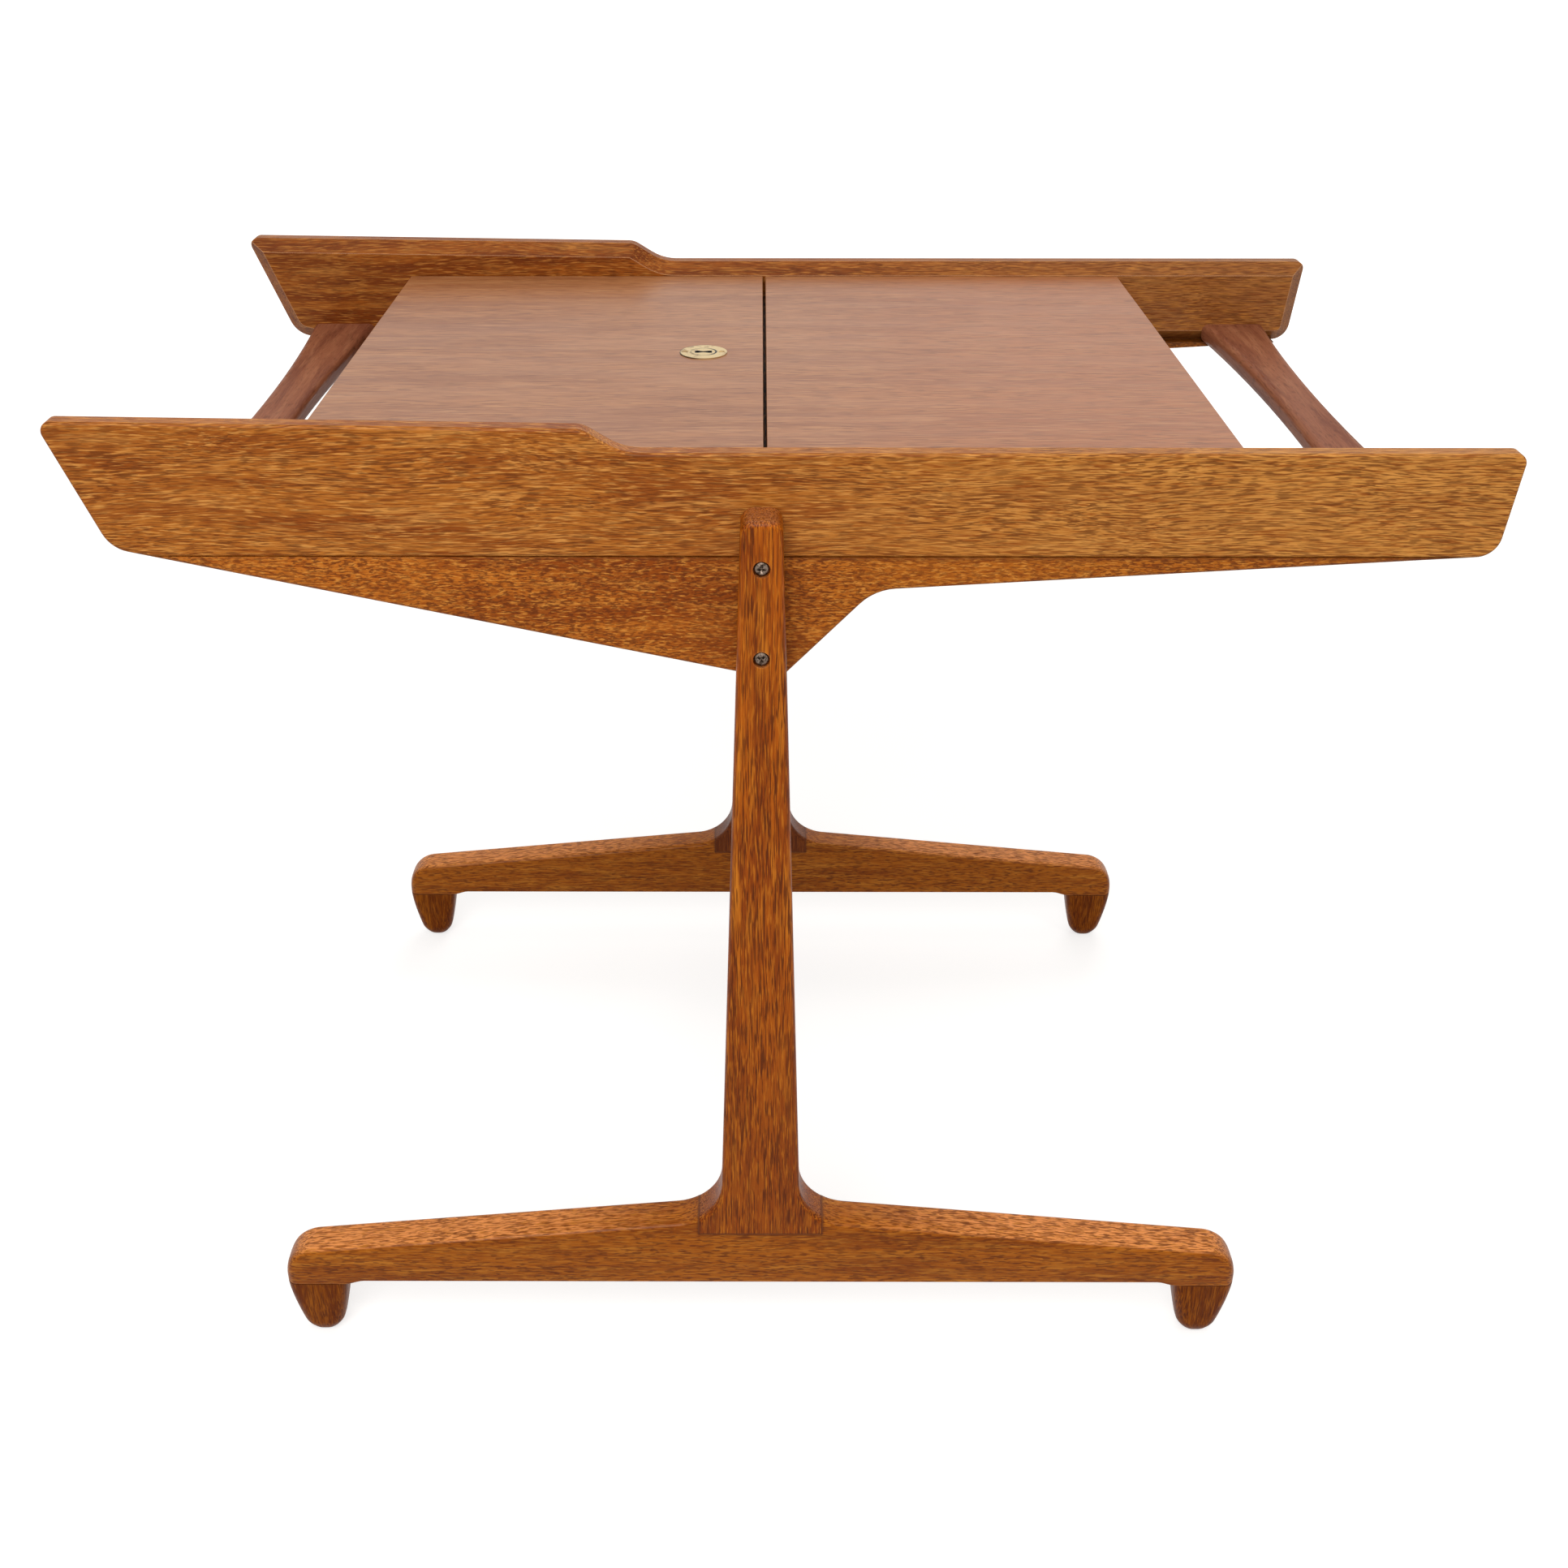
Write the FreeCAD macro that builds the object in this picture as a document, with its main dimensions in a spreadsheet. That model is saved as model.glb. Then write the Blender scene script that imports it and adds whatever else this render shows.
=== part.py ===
import FreeCAD, Part
import os
import Sketcher

# Vintage sewing table: two shaped rails on a trestle of two T-shaped legs, a shallow box between
# the rails, two sliding top panels over it, a lock in the left panel and a handle bar at each end.
# Millimetres, X along the rails, Y from front to rear, Z up, floor at zero.

document = FreeCAD.newDocument("SewingTable")
sizes = document.addObject("Spreadsheet::Sheet", "Sizes")

driving_sizes = (
    # rails
    ("rail_length", 800, "rails, end to end"),
    ("rail_spread", 456, "outer face of the front rail to outer face of the rear rail"),
    ("rail_thickness", 20, "board thickness of a rail"),
    ("rail_top", 631, "height of the low stretch of a rail"),
    ("step_rise", 17.5, "left end of a rail above its low stretch"),
    ("step_droop", 4, "fall of the high stretch from the end to the step"),
    ("step_offset", -97, "top of the step from the trestle centre"),
    ("step_run", 22, "length of the step along the rail"),
    ("step_round", 14, "convex radius at the top of the step"),
    ("step_hollow", 35, "concave radius at the foot of the step"),
    ("rail_bevel", 9, "wide bevel on the inner edge of a rail"),
    ("corner_round", 6, "outline radius at the top corners"),
    ("left_lean", 21.8, "left end of a rail from vertical, degrees"),
    ("right_lean", 6.3, "right end of a rail from vertical, degrees"),
    ("glue_drop", 60, "glue line below the low stretch"),
    ("left_corner_lift", 4.5, "lower left corner above the glue line"),
    ("lower_left_round", 18, "radius of the lower left corner"),
    ("lower_right_round", 13, "radius of the lower right corner"),
    ("right_tip_inset", 11, "end of the wedge from the lower right corner"),
    ("keel_offset", 10, "lowest point of a rail from the trestle centre"),
    ("keel_drop", 76, "lowest point of a rail below the glue line"),
    ("keel_round", 6, "radius at the lowest point"),
    ("knee_run", 53.5, "from the lowest point to the knee, along the rail"),
    ("knee_drop", 20, "knee below the glue line"),
    ("knee_round", 30, "concave radius at the knee"),
    ("edge_round", 2, "soft edge on the outer faces"),
    # handle bars
    ("left_bar_inset", 66, "centre of the left bar from the rail end"),
    ("right_bar_inset", 50.2, "centre of the right bar from the rail end"),
    ("bar_drop", 46, "top of a bar below the low stretch"),
    ("bar_thickness", 14, "thickness of a bar"),
    ("bar_end_width", 47, "width of a bar at the rails"),
    ("bar_waist_width", 29, "width of a bar at its middle"),
    ("bar_edge_round", 5, "rounded long edges of a bar"),
    ("dowel_diameter", 8, "handle bar dowels"),
    ("dowel_spacing", 22, "between the two dowels of a bar end"),
    ("dowel_depth", 12, "dowel in each piece"),
    # top panels
    ("left_gap", 121, "rail end to the left panel"),
    ("right_gap", 143, "rail end to the right panel"),
    ("panel_thickness", 12, "thickness of a top panel"),
    ("panel_slot", 2, "slot between the two panels"),
    ("panel_edge_round", 0.8, "broken edge of a panel surface"),
    ("panel_side_clearance", 0.5, "panel to rail, each side"),
    ("panel_drop", 0.3, "panel surface below the lower edge of the bevel"),
    ("panel_travel", 120, "slide of each panel"),
    ("slide_clearance", 0.3, "running clearance of the sliding panels"),
    ("board_under_panel", 0.4, "box edges below the panels"),
    # box
    ("end_board_thickness", 12, "box end boards"),
    ("end_board_inset", 3, "panel end past the end board"),
    ("divider_thickness", 10, "centre divider"),
    ("floor_lift", 5, "box floor above the lower edge of a rail"),
    ("floor_thickness", 8, "box floor, measured vertically"),
    ("divider_lift", 3, "centre divider above the lowest point"),
    ("partition_thickness", 6, "partitions of the right compartment"),
    ("partition_drop", 38, "top of the partitions below the rail"),
    # slides
    ("runner_width", 12, "runner on a rail, across the table"),
    ("runner_height", 20, "runner, vertically"),
    ("groove_depth", 6.4, "groove of a runner"),
    ("groove_height", 6.4, "groove of a runner, vertically"),
    ("groove_lift", 6.5, "groove above the underside of a runner"),
    ("cleat_width", 11.7, "web of a panel cleat"),
    ("cleat_gap", 2, "cleat to the centre divider when closed"),
    # lock
    ("lock_offset", 40, "lock centre to the slot centre"),
    ("flange_diameter", 31, "lock flange"),
    ("flange_thickness", 1.6, "lock flange"),
    ("flange_stand", 0.6, "lock flange above the panel"),
    ("barrel_diameter", 20, "lock barrel"),
    ("barrel_length", 19, "lock barrel below the flange"),
    ("plug_diameter", 16.6, "turning plug"),
    ("plug_clearance", 0.05, "running clearance of the plug, radial"),
    ("key_slot_length", 11, "keyhole"),
    ("key_slot_width", 2, "keyhole at its waist"),
    ("key_slot_flare", 3.4, "keyhole at its ends"),
    ("lock_screw_spacing", 24, "between the two flange screws"),
    ("lock_screw_diameter", 4, "flange screw head"),
    ("lock_screw_length", 9, "flange screw"),
    ("lock_screw_sink", 0.2, "flange screw head below the flange"),
    ("slit_width", 0.6, "slit of a flange screw"),
    ("slit_depth", 0.6, "slit of a flange screw"),
    ("lock_fit", 0.1, "lock in the panel, radial"),
    ("key_slot_floor", 4, "closed end of the keyhole"),
    ("cam_thickness", 2.5, "locking cam"),
    ("cam_gap", 0.3, "cam below the barrel"),
    ("cam_reach", 26, "locking cam, axis to tip"),
    ("cam_hub_diameter", 18, "locking cam at the axis"),
    ("cam_screw_diameter", 8, "screw that holds the cam to the plug"),
    ("cam_screw_height", 2, "screw that holds the cam to the plug"),
    ("catch_radius", 20, "lock axis to catch pin"),
    ("catch_diameter", 5, "catch pin"),
    ("catch_clearance", 0.7, "catch pin in the cam slot"),
    ("catch_plate", 2, "catch bracket"),
    ("catch_drop", 1.7, "catch bracket below the cam"),
    ("catch_width", 18, "catch bracket along the divider"),
    ("catch_leaf", 18, "catch bracket down the divider"),
    ("catch_stand", 1, "catch pin above the cam"),
    # trestle
    ("trestle_x", -13, "trestle centre along the rails"),
    ("post_thickness", 26, "post and foot beam, front to rear"),
    ("post_top_drop", 29, "post top below the low stretch"),
    ("post_top_width", 23, "post at its top"),
    ("post_foot_width", 53, "post at the beam"),
    ("post_top_round", 8, "rounded post top"),
    ("post_flare", 34, "concave radius at the foot of the post"),
    ("post_edge_round", 4, "softened edges of post and beam"),
    ("tenon_width", 82, "foot of the post let into the beam"),
    ("tenon_depth", 9, "foot of the post below the beam top"),
    ("beam_length", 646, "foot beam"),
    ("beam_underside", 51, "height of the beam underside"),
    ("beam_pad_height", 48, "height of the joint to the foot blocks"),
    ("beam_top", 108, "beam top produced to the centre"),
    ("beam_end_top", 76, "beam top at its ends"),
    ("beam_end_round", 15, "rounded beam ends"),
    ("beam_pad_run", 13, "slope from the underside to the foot block"),
    ("block_width", 40, "foot block at the beam"),
    ("block_taper_outer", 6, "outer side of a foot block, from top to bottom"),
    ("block_taper_inner", 9, "inner side of a foot block, from top to bottom"),
    ("block_round", 11, "rounded bottom of a foot block"),
    ("tool_margin", 1, "cuts past the face that they leave"),
    # screws
    ("screw_upper_drop", 56.5, "upper post screw below the low stretch"),
    ("screw_spacing", 54, "between the two screws of a post"),
    ("screw_head_diameter", 8.4, "post screw head"),
    ("screw_head_height", 3, "post screw head"),
    ("screw_shank_diameter", 4.5, "post screw shank"),
    ("screw_length", 38, "post screw below its head"),
    ("screw_recess", 3.4, "recess of a post screw"),
    ("screw_recess_margin", 0.6, "recess wider than the head, radial"),
    ("screw_hole_clearance", 0.05, "hole wider than the shank, radial"),
    ("cross_slot_width", 1.2, "cross recess of a post screw"),
    ("cross_slot_length", 5, "cross recess of a post screw"),
    ("cross_slot_depth", 1.6, "cross recess of a post screw"),
)

for row, (alias, value, note) in enumerate(driving_sizes, 1):
    sizes.set("A%d" % row, note)
    sizes.set("B%d" % row, str(value))
    sizes.setAlias("B%d" % row, alias)
document.recompute()

# Places that several pieces share, as expressions of the sheet.
rail_end = "Sizes.rail_length / 2"
rail_outer = "Sizes.rail_spread / 2"
rail_inner = "(Sizes.rail_spread / 2 - Sizes.rail_thickness)"
left_slope = "tan(Sizes.left_lean * 1 deg)"
right_slope = "tan(Sizes.right_lean * 1 deg)"
left_lead = "Sizes.corner_round * (%s + 1 / cos(Sizes.left_lean * 1 deg) - 1)" % left_slope
right_lead = "Sizes.corner_round * (%s + 1 / cos(Sizes.right_lean * 1 deg) - 1)" % right_slope
high_top = "(Sizes.rail_top + Sizes.step_rise)"
glue_height = "(Sizes.rail_top - Sizes.glue_drop)"
top_left_x = "(-%s - %s)" % (rail_end, left_lead)
top_right_x = "(%s + %s)" % (rail_end, right_lead)
left_corner_height = "(%s + Sizes.left_corner_lift)" % glue_height
left_corner_x = "(%s + (%s - %s) * %s)" % (top_left_x, high_top, left_corner_height, left_slope)
right_corner_x = "(%s - Sizes.glue_drop * %s)" % (top_right_x, right_slope)
keel_x = "(Sizes.trestle_x + Sizes.keel_offset)"
keel_height = "(%s - Sizes.keel_drop)" % glue_height
knee_x = "(%s + Sizes.knee_run)" % keel_x
knee_height = "(%s - Sizes.knee_drop)" % glue_height
left_tip_x = "(%s + (%s - %s) * Sizes.left_corner_lift / (Sizes.left_corner_lift + Sizes.keel_drop))" % (
    left_corner_x, keel_x, left_corner_x)
right_tip_x = "(%s - Sizes.right_tip_inset)" % right_corner_x

panel_left = "(-%s + Sizes.left_gap)" % rail_end
panel_right = "(%s - Sizes.right_gap)" % rail_end
slot_x = "((Sizes.right_gap * -1 + Sizes.left_gap) / 2)"
panel_top = "(Sizes.rail_top - Sizes.rail_bevel - Sizes.panel_drop)"
panel_bottom = "(%s - Sizes.panel_thickness)" % panel_top
board_top = "(%s - Sizes.board_under_panel)" % panel_bottom
left_board_x = "(%s + Sizes.end_board_inset)" % panel_left
left_room_x = "(%s + Sizes.end_board_thickness)" % left_board_x
right_room_x = "(%s - Sizes.end_board_inset - Sizes.end_board_thickness)" % panel_right
divider_left_x = "(%s - Sizes.divider_thickness / 2)" % slot_x
divider_right_x = "(%s + Sizes.divider_thickness / 2)" % slot_x
runner_bottom = "(%s - Sizes.runner_height)" % board_top
runner_face = "(%s - Sizes.runner_width)" % rail_inner
post_outer = "(%s + Sizes.post_thickness)" % rail_outer
post_top = "(Sizes.rail_top - Sizes.post_top_drop)"
lock_x = "(%s - Sizes.lock_offset)" % slot_x
flange_bottom = "(%s + Sizes.flange_stand - Sizes.flange_thickness)" % panel_top
barrel_bottom = "(%s - Sizes.barrel_length)" % flange_bottom
cam_top = "(%s - Sizes.cam_gap)" % barrel_bottom
catch_top = "(%s - Sizes.cam_thickness - Sizes.catch_drop)" % cam_top

table_pieces = []


def left_edge(across):
    # lower edge of a rail left of its lowest point
    rise = "((%s - %s) / (%s - %s))" % (left_corner_height, keel_height, keel_x, left_corner_x)
    return "(%s + (%s - %s) * %s)" % (keel_height, keel_x, across, rise)


def steep_edge(across):
    # lower edge of a rail between its lowest point and the knee
    rise = "((%s - %s) / Sizes.knee_run)" % (knee_height, keel_height)
    return "(%s + (%s - %s) * %s)" % (keel_height, across, keel_x, rise)


def right_edge(across):
    # lower edge of a rail right of the knee
    rise = "(Sizes.knee_drop / (%s - %s))" % (right_tip_x, knee_x)
    return "(%s + (%s - %s) * %s)" % (knee_height, across, knee_x, rise)


def keep(piece, name):
    # a finished sub-part, under the name that its file takes
    piece.Label = name
    table_pieces.append(piece)
    return piece


def place(piece, **where):
    for axis, expression in where.items():
        piece.setExpression("Placement.Base." + axis, expression)
    return piece


def origin_plane(body, role):
    return [plane for plane in body.Origin.OriginFeatures if plane.Role == role][0]


def start_sketch(body, role, name, lift=None):
    sketch = body.newObject("Sketcher::SketchObject", name)
    sketch.AttachmentSupport = [(origin_plane(body, role), "")]
    sketch.MapMode = "FlatFace"
    if lift:
        sketch.setExpression("AttachmentOffset.Base.z", lift)
    return sketch


def drawn_size(sketch, kind, where):
    # the size that the freshly drawn outline happens to have, before its expression rules
    if kind == "DistanceX":
        return sketch.getPoint(where[2], where[3]).x
    if kind == "DistanceY":
        return sketch.getPoint(where[2], where[3]).y
    radius = sketch.Geometry[where[0]].Radius
    return radius if kind == "Radius" else 2 * radius


def bind(sketch, kind, *terms):
    # a dimension held by an expression; a zero distance is a point on the sketch axis
    *where, expression = terms
    if expression == "0":
        axis = -2 if kind == "DistanceX" else -1
        sketch.addConstraint(Sketcher.Constraint("PointOnObject", where[2], where[3], axis))
        return
    index = sketch.addConstraint(Sketcher.Constraint(kind, *where, drawn_size(sketch, kind, where)))
    sketch.setExpression("Constraints[%d]" % index, expression)


def draw_polygon(sketch, corners):
    # a closed outline, each corner held from the sketch origin
    first = sketch.GeometryCount
    count = len(corners)
    starts = [FreeCAD.Vector(50 + turn, 50 + turn * turn, 0) for turn in range(count)]
    for turn in range(count):
        sketch.addGeometry(Part.LineSegment(starts[turn], starts[(turn + 1) % count]))
    for turn in range(count):
        following = first + (turn + 1) % count
        sketch.addConstraint(Sketcher.Constraint("Coincident", first + turn, 2, following, 1))
    for turn, (across, along) in enumerate(corners):
        bind(sketch, "DistanceX", -1, 1, first + turn, 1, across)
        bind(sketch, "DistanceY", -1, 1, first + turn, 1, along)


def draw_circle(sketch, across, along, diameter):
    index = sketch.addGeometry(Part.Circle(FreeCAD.Vector(10, 10, 0), FreeCAD.Vector(0, 0, 1), 5))
    bind(sketch, "DistanceX", -1, 1, index, 3, across)
    bind(sketch, "DistanceY", -1, 1, index, 3, along)
    bind(sketch, "Diameter", index, diameter)


def add_pad(body, sketch, length, reverse=False):
    pad = body.newObject("PartDesign::Pad", "Pad")
    pad.Profile = sketch
    pad.setExpression("Length", length)
    pad.Reversed = reverse
    sketch.Visibility = False
    document.recompute()
    return pad


def add_pocket(body, sketch, length, reverse=False):
    before = body.Shape.Volume
    pocket = body.newObject("PartDesign::Pocket", "Pocket")
    pocket.Profile = sketch
    pocket.setExpression("Length", length)
    pocket.Reversed = reverse
    document.recompute()
    if body.Shape.Volume > before - 0.01:
        raise RuntimeError("pocket cuts nothing in " + body.Label)
    return pocket


def corner_edges(feature, sketch, corners):
    # edges along the pad direction that stand on the numbered outline corners
    normal = sketch.Placement.Rotation.multVec(FreeCAD.Vector(0, 0, 1))
    names = []
    for corner in corners:
        foot = sketch.Placement.multVec(sketch.Geometry[corner].StartPoint)
        for number, edge in enumerate(feature.Shape.Edges, 1):
            offsets = [(vertex.Point - foot).cross(normal).Length for vertex in edge.Vertexes]
            if len(offsets) == 2 and max(offsets) < 1e-4:
                names.append("Edge%d" % number)
    return names


def edges_where(feature, test):
    return ["Edge%d" % number for number, edge in enumerate(feature.Shape.Edges, 1) if test(edge)]


def lies_at(edge, axis, level):
    box = edge.BoundBox
    low = getattr(box, axis + "Min")
    high = getattr(box, axis + "Max")
    return abs(low - level) < 1e-4 and abs(high - level) < 1e-4


def add_round(body, feature, names, radius):
    fillet = body.newObject("PartDesign::Fillet", "Round")
    fillet.Base = (feature, names)
    fillet.setExpression("Radius", radius)
    document.recompute()
    if not fillet.isValid():
        raise RuntimeError("a rounding of %s fails" % body.Label)
    return fillet


def add_bevel(body, feature, names, width):
    chamfer = body.newObject("PartDesign::Chamfer", "Bevel")
    chamfer.Base = (feature, names)
    chamfer.setExpression("Size", width)
    document.recompute()
    if not chamfer.isValid():
        raise RuntimeError("the bevel of %s fails" % body.Label)
    return chamfer


def start_body(name):
    body = document.addObject("PartDesign::Body", name)
    return keep(body, name)


def make_box(name, left, front, bottom, length, depth, height):
    box = document.addObject("Part::Box", name)
    for field, expression in (("Length", length), ("Width", depth), ("Height", height)):
        box.setExpression(field, expression)
    return place(box, x=left, y=front, z=bottom)


def make_cylinder(name, centre_x, centre_y, bottom, diameter, height):
    cylinder = document.addObject("Part::Cylinder", name)
    cylinder.setExpression("Radius", "(%s) / 2" % diameter)
    cylinder.setExpression("Height", height)
    return place(cylinder, x=centre_x, y=centre_y, z=bottom)


def cut(name, base, tool):
    result = document.addObject("Part::Cut", name)
    result.Base = base
    result.Tool = tool
    return result


def fuse(name, pieces):
    result = document.addObject("Part::MultiFuse", name)
    result.Shapes = pieces
    return result


def group(name, pieces):
    result = document.addObject("Part::Compound", name)
    result.Links = pieces
    return keep(result, name)


def outward(side):
    # "-" for the front of the table and "" for the rear
    return "-" if side == "front" else ""


def make_rail_board(side):
    # upper board of a rail, with the stepped top, both ends and the wide inner bevel
    body = start_body(side + "_rail_board")
    place(body, y=outward(side) + rail_outer)
    outline = start_sketch(body, "XZ_Plane", "Outline")
    draw_polygon(outline, (
        (left_tip_x, glue_height),
        (left_corner_x, left_corner_height),
        (top_left_x, high_top),
        ("(Sizes.trestle_x + Sizes.step_offset)", "(%s - Sizes.step_droop)" % high_top),
        ("(Sizes.trestle_x + Sizes.step_offset + Sizes.step_run)", "Sizes.rail_top"),
        (top_right_x, "Sizes.rail_top"),
        (right_corner_x, glue_height)))
    pad = add_pad(body, outline, "Sizes.rail_thickness", reverse=side == "front")
    last = pad
    for corners, radius in (((1,), "Sizes.lower_left_round"), ((6,), "Sizes.lower_right_round"),
                            ((3,), "Sizes.step_round"), ((4,), "Sizes.step_hollow")):
        last = add_round(body, last, corner_edges(last, outline, corners), radius)
    inner_level = sizes.rail_thickness if side == "front" else -sizes.rail_thickness
    glue_level = sizes.rail_top - sizes.glue_drop
    upper = edges_where(last, lambda edge: lies_at(edge, "Y", inner_level)
                        and not lies_at(edge, "Z", glue_level))
    last = add_bevel(body, last, upper, "Sizes.rail_bevel")
    last = add_round(body, last, corner_edges(last, outline, (2, 5)), "Sizes.corner_round")
    outer = edges_where(last, lambda edge: lies_at(edge, "Y", 0) and not lies_at(edge, "Z", glue_level))
    last = add_round(body, last, outer, "Sizes.edge_round")
    drill_rail(body, side, 0)
    drill_dowels(body, side)
    return body


def screw_height(index):
    # upper post screw first, then the lower one
    return "(Sizes.rail_top - Sizes.screw_upper_drop - %d * Sizes.screw_spacing)" % index


def drill_rail(body, side, index):
    # pilot hole of a post screw, from the outer face
    sketch = start_sketch(body, "XZ_Plane", "ScrewHole")
    draw_circle(sketch, "Sizes.trestle_x", screw_height(index),
                "Sizes.screw_shank_diameter + 2 * Sizes.screw_hole_clearance")
    depth = "Sizes.screw_length + Sizes.screw_recess - Sizes.post_thickness + Sizes.tool_margin"
    add_pocket(body, sketch, depth, reverse=side == "rear")


def drill_dowels(body, side):
    # blind holes of the handle bar dowels, from the inner face
    inner = "Sizes.rail_thickness" if side == "rear" else "-Sizes.rail_thickness"
    sketch = start_sketch(body, "XZ_Plane", "DowelHoles", lift=inner)
    for across in dowel_places():
        draw_circle(sketch, across, bar_middle, "Sizes.dowel_diameter")
    add_pocket(body, sketch, "Sizes.dowel_depth", reverse=side == "front")


bar_bottom = "(Sizes.rail_top - Sizes.bar_drop - Sizes.bar_thickness)"
bar_middle = "(Sizes.rail_top - Sizes.bar_drop - Sizes.bar_thickness / 2)"
bar_centres = {"left": "(-%s + Sizes.left_bar_inset)" % rail_end,
               "right": "(%s - Sizes.right_bar_inset)" % rail_end}


def dowel_places():
    return ["%s %s Sizes.dowel_spacing / 2" % (bar_centres[end], sign)
            for end in ("left", "right") for sign in ("-", "+")]


def make_rail_wedge(side):
    # lower board glued under the upper one, down to the point that the post screws reach
    body = start_body(side + "_rail_wedge")
    place(body, y=outward(side) + rail_outer)
    outline = start_sketch(body, "XZ_Plane", "Outline")
    draw_polygon(outline, ((left_tip_x, glue_height), (right_tip_x, glue_height),
                           (knee_x, knee_height), (keel_x, keel_height)))
    last = add_pad(body, outline, "Sizes.rail_thickness", reverse=side == "front")
    for corners, radius in (((2,), "Sizes.knee_round"), ((3,), "Sizes.keel_round")):
        last = add_round(body, last, corner_edges(last, outline, corners), radius)
    glue_level = sizes.rail_top - sizes.glue_drop
    lower = edges_where(last, lambda edge: lies_at(edge, "Y", 0) and not lies_at(edge, "Z", glue_level))
    add_round(body, last, lower, "Sizes.edge_round")
    drill_rail(body, side, 1)
    return body


def make_handle_bar(end):
    # flat bar between the rails, waisted at its middle, with rounded long edges
    body = start_body(end + "_handle_bar")
    place(body, x=bar_centres[end], z=bar_bottom)
    outline = start_sketch(body, "XY_Plane", "Outline")
    half_end = "Sizes.bar_end_width / 2"
    half_waist = "Sizes.bar_waist_width / 2"
    for turn in (-1, 1):
        outline.addGeometry(Part.LineSegment(FreeCAD.Vector(-24 * turn, 200 * turn, 0),
                                             FreeCAD.Vector(24 * turn, 200 * turn, 0)))
    for turn in (-1, 1):
        points = [FreeCAD.Vector(across * turn, along * turn, 0)
                  for across, along in ((24, -200), (15, 0), (24, 200))]
        outline.addGeometry(Part.Arc(*points))
    # lines 0 and 1 are the two ends, arcs 2 and 3 the two sides
    join_bar_outline(outline)
    for line, sign in ((0, "-"), (1, "")):
        bind(outline, "DistanceY", -1, 1, line, 1, sign + rail_inner)
        bind(outline, "DistanceY", -1, 1, line, 2, sign + rail_inner)
    bind(outline, "DistanceX", -1, 1, 0, 1, half_end)
    bind(outline, "DistanceX", -1, 1, 0, 2, "-" + half_end)
    bind(outline, "DistanceX", -1, 1, 1, 1, "-" + half_end)
    bind(outline, "DistanceX", -1, 1, 1, 2, half_end)
    sag = "(%s - %s)" % (half_end, half_waist)
    arc_radius = "(%s ^ 2 + %s ^ 2) / (2 * %s)" % (rail_inner, sag, sag)
    for arc in (2, 3):
        bind(outline, "Radius", arc, arc_radius)
    pad = add_pad(body, outline, "Sizes.bar_thickness")
    long_edges = edges_where(pad, lambda edge: edge.BoundBox.YLength > 10)
    add_round(body, pad, long_edges, "Sizes.bar_edge_round")
    for sign, reverse in (("", False), ("-", True)):
        sketch = start_sketch(body, "XZ_Plane", "DowelHoles", lift=sign + rail_inner)
        for half in ("-", ""):
            draw_circle(sketch, half + "Sizes.dowel_spacing / 2", "Sizes.bar_thickness / 2",
                        "Sizes.dowel_diameter")
        add_pocket(body, sketch, "Sizes.dowel_depth", reverse=reverse)
    return body


def join_bar_outline(outline):
    # each arc end meets the nearest line end
    for arc in (2, 3):
        for arc_end in (1, 2):
            tip = outline.getPoint(arc, arc_end)
            for line in (0, 1):
                for line_end in (1, 2):
                    if tip.distanceToPoint(outline.getPoint(line, line_end)) < 1:
                        outline.addConstraint(Sketcher.Constraint("Coincident", arc, arc_end, line, line_end))


def make_dowels():
    # eight beech dowels between the handle bars and the rails
    dowels = []
    for across in dowel_places():
        for sign in ("-", ""):
            dowel = document.addObject("Part::Cylinder", "Dowel")
            dowel.setExpression("Radius", "Sizes.dowel_diameter / 2")
            dowel.setExpression("Height", "2 * Sizes.dowel_depth")
            dowel.Placement.Rotation = FreeCAD.Rotation(FreeCAD.Vector(1, 0, 0), -90)
            place(dowel, x=across, y="%s%s - Sizes.dowel_depth" % (sign, rail_inner), z=bar_middle)
            dowels.append(dowel)
    group("handle_dowels", dowels)


def make_top_panel(end):
    body = start_body(end + "_top_panel")
    place(body, z=panel_bottom)
    outline = start_sketch(body, "XY_Plane", "Outline")
    slot_edge = "(%s %s Sizes.panel_slot / 2)" % (slot_x, "-" if end == "left" else "+")
    left, right = (panel_left, slot_edge) if end == "left" else (slot_edge, panel_right)
    reach = "(%s - Sizes.panel_side_clearance)" % rail_inner
    draw_polygon(outline, ((left, "-" + reach), (right, "-" + reach), (right, reach), (left, reach)))
    pad = add_pad(body, outline, "Sizes.panel_thickness")
    surface = edges_where(pad, lambda edge: lies_at(edge, "Z", sizes.panel_thickness + pad.Placement.Base.z))
    add_round(body, pad, surface, "Sizes.panel_edge_round")
    if end == "left":
        recess = start_sketch(body, "XY_Plane", "LockRecess", lift="Sizes.panel_thickness")
        draw_circle(recess, lock_x, "0", "Sizes.flange_diameter + 2 * Sizes.lock_fit")
        add_pocket(body, recess, "Sizes.flange_thickness - Sizes.flange_stand")
        hole = start_sketch(body, "XY_Plane", "LockHole", lift="Sizes.panel_thickness")
        draw_circle(hole, lock_x, "0", "Sizes.barrel_diameter + 2 * Sizes.lock_fit")
        add_pocket(body, hole, "Sizes.panel_thickness")
        pilots = start_sketch(body, "XY_Plane", "ScrewPilots", lift="Sizes.panel_thickness")
        for sign in ("-", "+"):
            draw_circle(pilots, "%s %s Sizes.lock_screw_spacing / 2" % (lock_x, sign), "0",
                        "Sizes.lock_screw_diameter / 2")
        add_pocket(body, pilots, "Sizes.lock_screw_length")
    return body


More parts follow.
